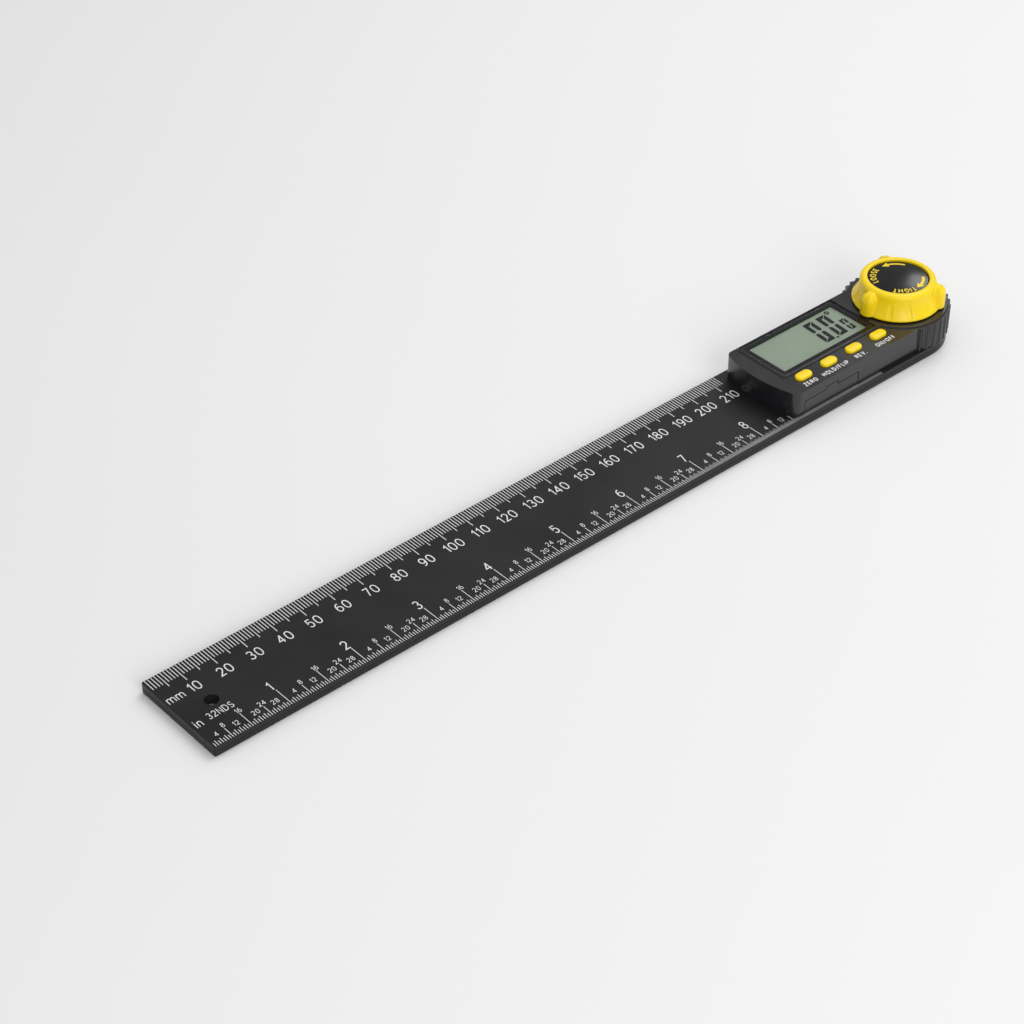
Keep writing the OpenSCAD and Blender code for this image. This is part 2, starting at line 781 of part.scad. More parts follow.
// Leaf spring at the cell's far edge, through the tray's open end
module contact_side() {
    rim = cell_y + cell_d / 2 + tray_clear / 2;
    back = tray_y1 + 2 * tray_clear;
    low = board_z - cell_z - cell_t / 2;
    color("gold") translate([tray_x - contact_w / 2, 0, board_z]) rotate([90, 0, 90])
        linear_extrude(contact_w) polygon([
            [back, 0], [back + contact_w, 0], [back + contact_w, -contact_t],
            [back + contact_t, -contact_t], [rim + contact_t, -low], [rim, -low], [back, -contact_t]
        ]);
}

module thrust_washer() {
    color("silver") translate([pivot_x, 0, thrust_seat_z]) difference() {
        cylinder(d = thrust_washer_d, h = thrust_washer_t);
        translate([0, 0, -cut]) cylinder(r = bolt_d / 2 + bolt_free, h = thrust_washer_t + 2 * cut);
    }
}

// Radius of the knob's flared wall at height z
function knob_wall_r(z) =
    knob_neck_r + (knob_base_r - knob_neck_r) * pow(max(0, 1 - (z - rim_z) / flare_h), flare_bend);

// Half section of the knob's outside: a rim, a flared wall, a neck and a rounded lip
knob_profile = concat(
    [[0, knob_z], [knob_base_r - knob_edge, knob_z], [knob_base_r, knob_z + knob_edge]],
    [for (i = [0:flare_steps]) let (z = rim_z + flare_h * i / flare_steps) [knob_wall_r(z), z]],
    [for (i = [0:lip_steps]) let (a = 90 * i / lip_steps)
        [knob_neck_r - lip_round * (1 - cos(a)), knob_top - lip_round * (1 - sin(a))]],
    [[0, knob_top]]
);

// Three finger lobes: upright round bars, with their outer corners rounded towards the lip
module knob_lobes() {
    low = knob_z + knob_edge / 2;
    crown = knob_top - lobe_drop;
    intersection() {
        union() for (lobe = [0:2]) rotate(lobe_angle + 120 * lobe)
            translate([lobe_reach - lobe_r + knob_edge, 0, low]) cylinder(r = lobe_r, h = knob_h);
        rotate_extrude($fn = 128) polygon(concat(
            [[0, knob_z - cut], [lobe_reach, knob_z - cut]],
            [for (i = [0:lobe_steps]) let (a = 90 * i / lobe_steps)
                [lobe_reach - lobe_round * (1 - cos(a)), crown - lobe_round * (1 - sin(a))]],
            [[0, crown]]
        ));
    }
}

// Narrow groove that follows the flared wall and fades out upwards
module knob_groove() {
    turn = groove_w / knob_base_r * 180 / PI;
    low = rim_z + knob_edge / 2;
    rise = flare_h - knob_edge;
    rotate(-turn / 2) rotate_extrude(angle = turn) polygon(concat(
        [for (i = [0:flare_steps]) let (z = low + rise * i / flare_steps)
            [knob_wall_r(z) - groove_depth * (1 - pow(i / flare_steps, 2)), z]],
        [[knob_base_r + cut, low + rise], [knob_base_r + cut, low]]
    ));
}

// Outside of the knob
module knob_skin() {
    difference() {
        rotate_extrude($fn = 128) polygon(knob_profile);
        for (lobe = [0:2], i = [0:grooves - 1])
            rotate(lobe_angle + 120 * lobe + 60 + (i - (grooves - 1) / 2) * groove_pitch) knob_groove();
    }
    knob_lobes();
}

// Half section of the room between the knob's wall and its boss, grown into them by extra
function knob_room(low, extra) = [
    [knob_boss_r - extra, low],
    [knob_base_r - knob_wall + extra, low],
    [knob_base_r - knob_wall + extra, rim_z],
    [knob_wall_r(deck_z) - knob_wall + extra, deck_z],
    [knob_wall_r(deck_z) - knob_wall + extra, deck_z + extra],
    [knob_boss_r - extra, deck_z + extra]
];

// Lock knob: a flared bell with three finger lobes, narrow grooves between them and a boss for the nut
module lock_knob() {
    color(yellow) translate([pivot_x, 0, 0]) difference() {
        union() {
            difference() {
                knob_skin();
                difference() {
                    rotate_extrude($fn = 128) polygon(knob_room(knob_z - cut, 0));
                    for (i = [0:knob_ribs - 1]) rotate(lobe_angle + (i + 0.5) * 360 / knob_ribs)
                        translate([0, rib_t / 2, 0]) rotate([90, 0, 0]) linear_extrude(rib_t)
                            polygon(knob_room(rim_z - knob_rim_h / 2, knob_wall / 4));
                }
            }
            translate([0, 0, boss_z]) cylinder(r = knob_boss_r - knob_edge, h = knob_h / 2);
        }
        translate([0, 0, cap_z - seat]) cylinder(r = cap_r + seat, h = knob_h);
        translate([0, 0, nut_z - seat]) cylinder(r = nut_r + seat, h = knob_h, $fn = 6);
        translate([0, 0, boss_z - cut]) cylinder(r = bolt_d / 2 + bolt_free, h = knob_h);
    }
}

module knob_nut() {
    color("goldenrod") translate([pivot_x, 0, nut_z]) difference() {
        cylinder(r = nut_r, h = nut_h, $fn = 6);
        translate([0, 0, -cut]) cylinder(r = bolt_d / 2 + running, h = nut_h + 2 * cut);
    }
}

// Cap over the nut, with a low dome
module knob_cap() {
    color("black") translate([pivot_x, 0, cap_z]) rotate_extrude($fn = 128)
        polygon(concat([[0, 0], [cap_r, 0]], [for (p = dome_arc(cap_r, cap_dome)) p + [0, cap_t]]));
}

upper_blade();
lower_blade();
friction_washer();
pivot_bolt();
pivot_bush();
retaining_clip();
housing_shell();
housing_floor();
housing_screws();
display_lens();
display_frame();
display_panel();
zebra_strips();
circuit_board();
board_screws();
controller_chip();
sensor_stator();
sensor_rotor();
sensor_header();
dome_zero();
dome_hold();
dome_reverse();
dome_power();
button_zero();
button_hold();
button_reverse();
button_power();
battery_tray();
coin_cell();
contact_top();
contact_side();
thrust_washer();
lock_knob();
knob_nut();
knob_cap();
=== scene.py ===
import json
import math
from functools import cache

import bmesh
import bpy
from mathutils import Matrix, Vector

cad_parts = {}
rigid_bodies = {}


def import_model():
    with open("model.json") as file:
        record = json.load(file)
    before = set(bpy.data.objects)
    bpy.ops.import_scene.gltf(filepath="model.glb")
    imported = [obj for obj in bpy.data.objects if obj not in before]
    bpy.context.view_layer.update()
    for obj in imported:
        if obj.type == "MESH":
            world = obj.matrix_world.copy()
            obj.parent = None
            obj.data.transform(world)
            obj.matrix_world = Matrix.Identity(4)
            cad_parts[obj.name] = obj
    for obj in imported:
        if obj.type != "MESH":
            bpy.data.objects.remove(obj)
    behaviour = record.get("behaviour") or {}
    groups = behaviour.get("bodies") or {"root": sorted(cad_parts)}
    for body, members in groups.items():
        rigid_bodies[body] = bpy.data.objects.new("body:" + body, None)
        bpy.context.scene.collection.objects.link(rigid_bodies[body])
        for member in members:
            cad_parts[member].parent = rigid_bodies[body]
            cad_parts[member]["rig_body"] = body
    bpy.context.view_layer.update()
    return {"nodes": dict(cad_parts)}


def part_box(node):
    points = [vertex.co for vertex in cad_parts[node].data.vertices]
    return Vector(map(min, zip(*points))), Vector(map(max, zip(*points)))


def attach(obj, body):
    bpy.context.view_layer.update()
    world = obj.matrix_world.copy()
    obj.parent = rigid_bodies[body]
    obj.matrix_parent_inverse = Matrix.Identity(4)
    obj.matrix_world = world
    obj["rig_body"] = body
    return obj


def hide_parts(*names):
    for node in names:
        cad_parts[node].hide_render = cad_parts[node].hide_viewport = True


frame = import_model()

bl_info = {
    "name": "Digital angle gauge",
    "version": (1, 0, 0),
    "blender": (4, 5, 0),
    "location": "3D View > Sidebar > Gauge",
    "description": "Finishes, scales and lettering for a digital angle gauge",
    "category": "Object",
}

MM = 0.001

# Places read from the frame, in metres
BLADE_LOW, BLADE_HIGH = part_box("upper_blade")
LOWER_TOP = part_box("lower_blade")[1].z
LEFT = BLADE_LOW.x
NEAR = BLADE_LOW.y
FAR = BLADE_HIGH.y
CAP_LOW, CAP_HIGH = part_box("knob_cap")
PIVOT = Vector(((CAP_LOW.x + CAP_HIGH.x) / 2, (CAP_LOW.y + CAP_HIGH.y) / 2, 0))
CAP_R = CAP_HIGH.x - PIVOT.x
PANEL_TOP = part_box("display_panel")[1].z
# The button strip lies a little lower than the top of the shell
STRIP_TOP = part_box("housing_shell")[1].z - 0.5 * MM


class GaugeScaleSettings(bpy.types.PropertyGroup):
    """Sizes of the printed scales and words"""

    line_width: bpy.props.FloatProperty(
        name="Line width", description="Width of a printed line",
        default=0.24 * MM, unit="LENGTH", precision=5
    )
    millimetre_line: bpy.props.FloatProperty(
        name="Millimetre line", description="Length of a 1 mm line",
        default=4.5 * MM, unit="LENGTH", precision=5
    )
    five_line: bpy.props.FloatProperty(
        name="5 mm line", description="Length of a 5 mm line",
        default=6.0 * MM, unit="LENGTH", precision=5
    )
    ten_line: bpy.props.FloatProperty(
        name="10 mm line", description="Length of a 10 mm line",
        default=7.1 * MM, unit="LENGTH", precision=5
    )
    inch_line: bpy.props.FloatProperty(
        name="Inch line", description="Length of an inch line",
        default=7.3 * MM, unit="LENGTH", precision=5
    )
    number_height: bpy.props.FloatProperty(
        name="Numbers", description="Height of the millimetre and inch numbers",
        default=3.7 * MM, unit="LENGTH", precision=5
    )
    fraction_height: bpy.props.FloatProperty(
        name="Fractions", description="Height of the numbers between inches",
        default=1.85 * MM, unit="LENGTH", precision=5
    )
    unit_height: bpy.props.FloatProperty(
        name="Unit words", description="Height of the words that name the units",
        default=3.1 * MM, unit="LENGTH", precision=5
    )
    number_weight: bpy.props.FloatProperty(
        name="Number weight", description="Stroke of the numbers, as a share of their height",
        default=0.105
    )
    number_narrow: bpy.props.FloatProperty(
        name="Number width", description="Width of the numbers, as a share of that of the words",
        default=0.9
    )
    word_weight: bpy.props.FloatProperty(
        name="Word weight", description="Stroke of the button and cap words, as a share of their height",
        default=0.18
    )
    button_word: bpy.props.FloatProperty(
        name="Button words", description="Height of the words beside the buttons",
        default=1.8 * MM, unit="LENGTH", precision=5
    )
    cap_word: bpy.props.FloatProperty(
        name="Cap words", description="Height of the words on the knob's cap",
        default=2.05 * MM, unit="LENGTH", precision=5
    )
    lift: bpy.props.FloatProperty(
        name="Print lift", description="Thickness of the print over its surface",
        default=0.02 * MM, unit="LENGTH", precision=6
    )


class GaugeColourSettings(bpy.types.PropertyGroup):
    """Colours of the gauge's finishes"""

    anodised: bpy.props.FloatVectorProperty(
        name="Anodised blade", description="Colour of the blades",
        default=(0.0085, 0.0085, 0.0095), subtype="COLOR", size=3
    )
    moulded: bpy.props.FloatVectorProperty(
        name="Moulded head", description="Colour of the head's plastic",
        default=(0.0105, 0.0105, 0.0125), subtype="COLOR", size=3
    )
    yellow: bpy.props.FloatVectorProperty(
        name="Yellow plastic", description="Colour of the knob and the buttons",
        default=(0.95, 0.69, 0.004), subtype="COLOR", size=3
    )
    cap: bpy.props.FloatVectorProperty(
        name="Gloss black", description="Colour of the cap and of the border round the display",
        default=(0.0055, 0.0055, 0.006), subtype="COLOR", size=3
    )
    print_white: bpy.props.FloatVectorProperty(
        name="White print", description="Colour of the scales and the button words",
        default=(0.82, 0.82, 0.82), subtype="COLOR", size=3
    )
    display: bpy.props.FloatVectorProperty(
        name="Display", description="Colour of the display without a reading",
        default=(0.212, 0.272, 0.202), subtype="COLOR", size=3
    )
    ink: bpy.props.FloatVectorProperty(
        name="Reading", description="Colour of the display's reading",
        default=(0.004, 0.0045, 0.0055), subtype="COLOR", size=3
    )
    floor: bpy.props.FloatVectorProperty(
        name="Floor", description="Colour of the floor",
        default=(0.86, 0.86, 0.865), subtype="COLOR", size=3
    )


class GaugeStageSettings(bpy.types.PropertyGroup):
    """Camera and light"""

    camera_place: bpy.props.FloatVectorProperty(
        name="Camera", description="Place of the camera",
        default=(-0.40231, -0.43217, 0.45877), subtype="XYZ", unit="LENGTH", size=3
    )
    camera_turn: bpy.props.FloatVectorProperty(
        name="Turn", description="Turn of the camera",
        default=(0.904311, 0.005982, -0.714889), subtype="EULER", size=3
    )
    camera_lens: bpy.props.FloatProperty(
        name="Lens", description="Focal length of the camera",
        default=89.694, unit="CAMERA"
    )
    key_power: bpy.props.FloatProperty(
        name="Key light", description="Power of the large lamp overhead",
        default=5.7, unit="POWER"
    )
    fill_power: bpy.props.FloatProperty(
        name="Fill light", description="Power of the lamp at the near side",
        default=5.0, unit="POWER"
    )
    cap_power: bpy.props.FloatProperty(
        name="Cap light", description="Power of the small lamp that the knob's cap mirrors",
        default=0.36, unit="POWER"
    )
    daylight: bpy.props.FloatProperty(
        name="Surrounding light", description="Strength of the light from all sides",
        default=0.5
    )
    mirrored: bpy.props.FloatProperty(
        name="Mirrored surrounds", description="Brightness of the surrounds in glossy faces",
        default=0.4
    )
    backdrop: bpy.props.FloatProperty(
        name="Backdrop", description="Brightness of the surrounds behind the floor",
        default=0.94
    )


# Meshes


# Points closer than this are one point, in metres
MERGE = 0.002 * MM
# Angles between faces in degrees: taken as flat, shaded sharp, and rounded off
FLAT_ANGLE = 0.6
SHARP_ANGLE = 28
ROUND_ANGLE = 32
# A turned row with a smaller radius is a single point
TIP_R = 1e-7


def link(obj):
    """Puts an object in the scene."""
    bpy.context.scene.collection.objects.link(obj)
    return obj


def settle(piece, body, slot, *nodes):
    """Lets a finished piece ride on its body and stand for its CAD nodes; the slot is not used."""
    if nodes:
        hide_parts(*nodes)
    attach(piece, body)
    return piece


def shade_smooth(mesh, material, crease):
    """Gives a mesh its one finish, smooth up to the crease angle in degrees."""
    mesh.materials.clear()
    mesh.materials.append(material)
    mesh.polygons.foreach_set("use_smooth", [True] * len(mesh.polygons))
    mesh.set_sharp_from_angle(angle=math.radians(crease))


def piece_of(name, vertices, faces, material, crease=40):
    """An object from points in the gauge's own frame."""
    mesh = bpy.data.meshes.new(name)
    mesh.from_pydata([tuple(v) for v in vertices], [], faces)
    mesh.validate()
    shade_smooth(mesh, material, crease)
    return link(bpy.data.objects.new(name, mesh))


def plain(obj):
    """Turns an object's modifiers into a plain mesh."""
    bpy.context.view_layer.update()
    graph = bpy.context.evaluated_depsgraph_get()
    mesh = bpy.data.meshes.new_from_object(obj.evaluated_get(graph), depsgraph=graph)
    obj.modifiers.clear()
    old = obj.data
    obj.data = mesh
    mesh.name = obj.name
    bpy.data.meshes.remove(old)
    return obj


def merged(node):
    """A CAD node's mesh for editing, with points in one place made one."""
    work = bmesh.new()
    work.from_mesh(frame["nodes"][node].data)
    bmesh.ops.remove_doubles(work, verts=work.verts, dist=MERGE)
    return work


def softened(node, name, material, slot, edge, segments=2):
    """A copy of a CAD node with rounded edges, which stands for the node."""
    work = merged(node)
    flat = math.radians(FLAT_ANGLE)
    bmesh.ops.dissolve_limit(work, angle_limit=flat, verts=work.verts, edges=work.edges)
    mesh = bpy.data.meshes.new(name)
    work.to_mesh(mesh)
    work.free()
    shade_smooth(mesh, material, SHARP_ANGLE)
    piece = link(bpy.data.objects.new(name, mesh))
    round_edges = piece.modifiers.new("round_edges", "BEVEL")
    round_edges.limit_method = "ANGLE"
    round_edges.angle_limit = math.radians(ROUND_ANGLE)
    round_edges.width = edge
    round_edges.segments = segments
    round_edges.use_clamp_overlap = True
    round_edges.harden_normals = True
    plain(piece)
    return settle(piece, frame["nodes"][node]["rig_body"], slot, node)


def dress(node, material):
    """Gives a CAD node its finish."""
    slots = frame["nodes"][node].data.materials
    slots.clear()
    slots.append(material)


def wrapped(rows, closed=False):
    """Points and faces of a skin over rows of points round an axis; a row of one point is a tip."""
    points, numbers, faces = [], [], []
    for row in rows:
        numbers.append(range(len(points), len(points) + len(row)))
        points += row
    if closed:
        numbers.append(numbers[0])
    for low, high in zip(numbers, numbers[1:]):
        count = max(len(low), len(high))
        for k in range(count):
            n = (k + 1) % count
            if len(low) == 1:
                faces.append((low[0], high[n], high[k]))
            elif len(high) == 1:
                faces.append((low[k], low[n], high[0]))
            else:
                faces.append((low[k], low[n], high[n], high[k]))
    return points, faces


def lathe(profile, columns):
    """Points and faces of a turned shape; profile is (radius, height) from the axis to the axis."""
    turns = [2 * math.pi * k / columns for k in range(columns)]
    rows = []
    for radius, height in profile:
        if radius < TIP_R:
            rows.append([Vector((0, 0, height))])
        else:
            rows.append([Vector((radius * math.cos(a), radius * math.sin(a), height)) for a in turns])
    return wrapped(rows)


# Print


# Strokes that cross lie this far apart in height, so that they do not flicker
STROKE_STEP = 0.003 * MM
# Space between letters, as a share of their height
LETTER_GAP = 0.19
# Points of a stroke closer than this are one point, as a share of the height
SAME_POINT = 1e-4
# A sharp corner's mitre grows no longer than the stroke divided by this
MITRE_LIMIT = 0.4


def arc(cx, cy, rx, ry, start, end, steps=12):
    """Points on part of an ellipse, between two angles in degrees."""
    turn = [math.radians(start + (end - start) * i / steps) for i in range(steps + 1)]
    return [(cx + rx * math.cos(a), cy + ry * math.sin(a)) for a in turn]


# Width of each letter and the middle lines of its strokes, in a box of one by one
LETTERS = {
    "0": (0.60, [arc(0.5, 0.62, 0.5, 0.38, 0, 180) + arc(0.5, 0.38, 0.5, 0.38, 180, 360) + [(1, 0.62)]]),
    "1": (0.31, [[(0, 0.76), (1, 1), (1, 0)]]),
    "2": (0.57, [arc(0.5, 0.72, 0.48, 0.28, 170, -35) + [(0, 0), (1, 0)]]),
    "3": (0.57, [arc(0.46, 0.755, 0.44, 0.245, 150, -90), arc(0.46, 0.265, 0.52, 0.265, 90, -155)]),
    "4": (0.62, [[(0.74, 0), (0.74, 1)], [(0.74, 1), (0, 0.28), (1, 0.28)]]),
    "5": (0.57, [[(0.94, 1), (0.14, 1), (0.06, 0.52)] + arc(0.48, 0.33, 0.5, 0.33, 130, -150)]),
    "6": (0.58, [arc(0.5, 0.32, 0.5, 0.32, 0, 360, 24), arc(0.66, 0.4, 0.66, 0.6, 75, 183)]),
    "7": (0.55, [[(0, 1), (1, 1), (0.34, 0)]]),
    "8": (0.58, [arc(0.5, 0.765, 0.43, 0.235, 0, 360, 24), arc(0.5, 0.265, 0.5, 0.265, 0, 360, 24)]),
    "9": (0.58, [arc(0.5, 0.68, 0.5, 0.32, 0, 360, 24), arc(0.34, 0.6, 0.66, 0.6, -105, 3)]),
    "m": (0.98, [[(0, 0), (0, 0.74)], arc(0.25, 0.5, 0.25, 0.24, 180, 0, 8) + [(0.5, 0)],
                 arc(0.75, 0.5, 0.25, 0.24, 180, 0, 8) + [(1, 0)]]),
    "n": (0.54, [[(0, 0), (0, 0.74)], arc(0.5, 0.46, 0.5, 0.28, 180, 0) + [(1, 0)]]),
    "i": (0.0, [[(0, 0), (0, 0.74)], [(0, 0.9), (0, 1.04)]]),
    "D": (0.66, [[(0, 0), (0, 1), (0.4, 1)] + arc(0.4, 0.5, 0.6, 0.5, 90, -90) + [(0, 0)]]),
    "E": (0.52, [[(1, 1), (0, 1), (0, 0), (1, 0)], [(0, 0.51), (0.88, 0.51)]]),
    "F": (0.50, [[(1, 1), (0, 1), (0, 0)], [(0, 0.51), (0.86, 0.51)]]),
    "G": (0.72, [arc(0.5, 0.5, 0.5, 0.5, 40, 345, 22) + [(1, 0.47), (0.55, 0.47)]]),
    "H": (0.66, [[(0, 0), (0, 1)], [(1, 0), (1, 1)], [(0, 0.5), (1, 0.5)]]),
    "I": (0.0, [[(0, 0), (0, 1)]]),
    "L": (0.48, [[(0, 1), (0, 0), (1, 0)]]),
    "N": (0.68, [[(0, 0), (0, 1), (1, 0), (1, 1)]]),
    "O": (0.74, [arc(0.5, 0.5, 0.5, 0.5, 0, 360, 28)]),
    "P": (0.58, [[(0, 0), (0, 1)], [(0, 1), (0.5, 1)] + arc(0.5, 0.73, 0.5, 0.27, 90, -90) + [(0, 0.46)]]),
    "R": (0.60, [[(0, 0), (0, 1)], [(0, 1), (0.5, 1)] + arc(0.5, 0.74, 0.5, 0.26, 90, -90) + [(0, 0.48)],
                 [(0.5, 0.48), (1, 0)]]),
    "S": (0.58, [arc(0.5, 0.75, 0.47, 0.25, 25, 270) + arc(0.5, 0.25, 0.5, 0.25, 90, -155)]),
    "T": (0.60, [[(0, 1), (1, 1)], [(0.5, 1), (0.5, 0)]]),
    "V": (0.68, [[(0, 1), (0.5, 0), (1, 1)]]),
    "Z": (0.60, [[(0, 1), (1, 1), (0, 0), (1, 0)]]),
    ".": (0.0, [[(0, -0.06), (0, 0.08)]]),
    "/": (0.42, [[(0, -0.04), (1, 1.04)]]),
}


def band(line, weight):
    """Points and faces of a flat band along a line, with mitred corners; back at its start it is closed."""
    path = [Vector(line[0])]
    for point in line[1:]:
        if (Vector(point) - path[-1]).length > SAME_POINT:
            path.append(Vector(point))
    closed = len(path) > 2 and (path[0] - path[-1]).length < SAME_POINT
    if closed:
        path.pop()
    count = len(path)
    points = []
    for i, point in enumerate(path):
        into = (point - path[i - 1]).normalized() if closed or i else (path[1] - point).normalized()
        out = (path[(i + 1) % count] - point).normalized() if closed or i + 1 < count else into
        along = (into + out).normalized()
        across = Vector((-along.y, along.x))
        reach = weight / 2 / max(MITRE_LIMIT, across.dot(Vector((-into.y, into.x))))
        points += [point + across * reach, point - across * reach]
    ends = [(i, (i + 1) % count) for i in range(count if closed else count - 1)]
    return points, [(2 * i + 1, 2 * j + 1, 2 * j, 2 * i) for i, j in ends]


@cache
def letters(text, weight):
    """Flat points and faces of a word, one unit high and centred on its middle; z counts the strokes."""
    points, faces, pen = [], [], 0.0
    for sign in text:
        width, strokes = LETTERS[sign]
        width = max(width, weight)
        left, low = pen + weight / 2, weight / 2 - 0.5
        for rank, stroke in enumerate(strokes):
            line = [(left + x * (width - weight), low + y * (1 - weight)) for x, y in stroke]
            flat, quads = band(line, weight)
            faces += [tuple(len(points) + i for i in quad) for quad in quads]
            points += [Vector((p.x, p.y, rank)) for p in flat]
        pen += width + LETTER_GAP
    middle = Vector(((pen - LETTER_GAP) / 2, 0, 0))
    return [p - middle for p in points], faces


class Print:
    """Flat print that is gathered into one piece."""

    def __init__(self):
        self.points = []
        self.faces = []

    def add(self, points, faces):
        start = len(self.points)
        self.points += [Vector(p) for p in points]
        self.faces += [tuple(start + i for i in face) for face in faces]

    def word(self, text, height, x, y, z, weight, narrow=1.0):
        points, faces = letters(text, weight)
        wide = height * narrow
        self.add([(x + p.x * wide, y + p.y * height, z + p.z * STROKE_STEP) for p in points], faces)

    def polygon(self, points):
        self.add(points, [tuple(range(len(points)))])

    def piece(self, name, material):
        return piece_of(name, self.points, self.faces, material)


# Nodes


# Most ranks of lines that a scale can have
RANKS = 5


def node_group(name, kind, takes, gives):
    """A new node group; takes and gives are pairs of a socket's kind and name."""
    tree = bpy.data.node_groups.new(name, kind + "NodeTree")
    for direction, sockets in (("INPUT", takes), ("OUTPUT", gives)):
        for socket, title in sockets:
            tree.interface.new_socket(name=title, in_out=direction, socket_type="NodeSocket" + socket)
    take = tree.nodes.new("NodeGroupInput").outputs
    give = tree.nodes.new("NodeGroupOutput").inputs
    return tree, take, give


def feed(tree, place, value):
    """Gives a node's input a value, or a link where the value is a socket."""
    if isinstance(value, bpy.types.NodeSocket):
        tree.links.new(value, place)
    else:
        place.default_value = value


def maths(tree, operation, first, second):
    """A Math node; its inputs are numbers or sockets."""
    node = tree.nodes.new("ShaderNodeMath")
    node.operation = operation
    feed(tree, node.inputs[0], first)
    feed(tree, node.inputs[1], second)
    return node.outputs[0]


def vector_of(tree, x, y, z):
    """A Combine XYZ node; its inputs are numbers or sockets."""
    node = tree.nodes.new("ShaderNodeCombineXYZ")
    for place, value in zip(node.inputs, (x, y, z)):
        feed(tree, place, value)
    return node.outputs[0]


def finish_copies(tree, copies, material, place):
    """The last two nodes of a geometry tree: copies become real and take their finish."""
    real = tree.nodes.new("GeometryNodeRealizeInstances")
    tree.links.new(copies.outputs[0], real.inputs["Geometry"])
    finish = tree.nodes.new("GeometryNodeSetMaterial")
    tree.links.new(real.outputs[0], finish.inputs["Geometry"])
    tree.links.new(material, finish.inputs["Material"])
    tree.links.new(finish.outputs[0], place)


@cache
def scale_line_nodes():
    """Geometry nodes that draw a row of scale lines, longer at each rank; an unset rank has no length."""
    takes = [("Int", "Count"), ("Int", "First"), ("Float", "Pitch"), ("Float", "Line Width")]
    takes.append(("Float", "Towards Y"))
    for rank in range(1, RANKS + 1):
        takes += [("Int", f"Every {rank}"), ("Float", f"Length {rank}")]
    takes.append(("Material", "Finish"))
    tree, take, give = node_group("scale_lines", "Geometry", takes, [("Geometry", "Geometry")])
    number = maths(tree, "ADD", tree.nodes.new("GeometryNodeInputIndex").outputs[0], take["First"])
    length = 0.0
    for rank in range(1, RANKS + 1):
        rest = maths(tree, "MODULO", number, take[f"Every {rank}"])
        hit = maths(tree, "LESS_THAN", rest, 0.5)
        own = maths(tree, "MULTIPLY", hit, take[f"Length {rank}"])
        length = maths(tree, "MAXIMUM", length, own)
    row = tree.nodes.new("GeometryNodeMeshLine")
    tree.links.new(take["Count"], row.inputs["Count"])
    tree.links.new(vector_of(tree, take["Pitch"], 0, 0), row.inputs["Offset"])
    back = maths(tree, "MULTIPLY", length, maths(tree, "SUBTRACT", take["Towards Y"], 1.0))
    shift = tree.nodes.new("GeometryNodeSetPosition")
    tree.links.new(row.outputs[0], shift.inputs["Geometry"])
    tree.links.new(vector_of(tree, 0, back, 0), shift.inputs["Offset"])
    mark = tree.nodes.new("GeometryNodeMeshGrid")
    for name, value in (("Size X", 1.0), ("Size Y", 1.0), ("Vertices X", 2), ("Vertices Y", 2)):
        mark.inputs[name].default_value = value
    raised = tree.nodes.new("GeometryNodeTransform")
    raised.inputs["Translation"].default_value = (0, 0.5, 0)
    tree.links.new(mark.outputs["Mesh"], raised.inputs["Geometry"])
    copies = tree.nodes.new("GeometryNodeInstanceOnPoints")
    tree.links.new(shift.outputs[0], copies.inputs["Points"])
    tree.links.new(raised.outputs[0], copies.inputs["Instance"])
    tree.links.new(vector_of(tree, take["Line Width"], length, 1), copies.inputs["Scale"])
    finish_copies(tree, copies, take["Finish"], give["Geometry"])
    return tree


@cache
def placed_copy_nodes():
    """Geometry nodes that put a copy of one part on each point of a mesh."""
    takes = (("Geometry", "Geometry"), ("Object", "Part"), ("Material", "Finish"))
    tree, take, give = node_group("placed_copies", "Geometry", takes, [("Geometry", "Geometry")])
    part = tree.nodes.new("GeometryNodeObjectInfo")
    tree.links.new(take["Part"], part.inputs["Object"])
    copies = tree.nodes.new("GeometryNodeInstanceOnPoints")
    tree.links.new(take["Geometry"], copies.inputs["Points"])
    tree.links.new(part.outputs["Geometry"], copies.inputs["Instance"])
    finish_copies(tree, copies, take["Finish"], give["Geometry"])
    return tree


def grown(name, tree, values, points=()):
    """A plain mesh from a node tree; values are set by the sockets' identifiers."""
    mesh = bpy.data.meshes.new(name)
    mesh.from_pydata([tuple(p) for p in points], [], [])
    obj = link(bpy.data.objects.new(name, mesh))
    grow = obj.modifiers.new("grow", "NODES")
    grow.node_group = tree
    for item in tree.interface.items_tree:
        if item.item_type == "SOCKET" and item.in_out == "INPUT" and item.name in values:
            grow[item.identifier] = values[item.name]
    return plain(obj)


# Finishes


# What the shared surfaces give
SURFACE = (("Color", "Colour"), ("Float", "Roughness"), ("Float", "Height"))
DUST_COLOUR = (0.30, 0.30, 0.31, 1.0)
DUST_SCALE = 1500.0
METAL_BUMP = 0.06
METAL_DEPTH = 0.02 * MM


def colours():
    return bpy.context.scene.gauge_colours


def rgba(colour):
    return (colour[0], colour[1], colour[2], 1.0)


def shade(colour, factor):
    return tuple(channel * factor for channel in colour[:3])


def object_place(tree, **turns):
    """Object coordinates, through a Mapping node where a Scale or a Rotation is given."""
    place = tree.nodes.new("ShaderNodeTexCoord").outputs["Object"]
    if not turns:
        return place
    mapping = tree.nodes.new("ShaderNodeMapping")
    for name, value in turns.items():
        mapping.inputs[name].default_value = value
    tree.links.new(place, mapping.inputs["Vector"])
    return mapping.outputs[0]


def noise(tree, scale, detail, **turns):
    """A Noise Texture on Object coordinates."""
    node = tree.nodes.new("ShaderNodeTexNoise")
    node.inputs["Detail"].default_value = detail
    feed(tree, node.inputs["Scale"], scale)
    tree.links.new(object_place(tree, **turns), node.inputs["Vector"])
    return node.outputs["Fac"]


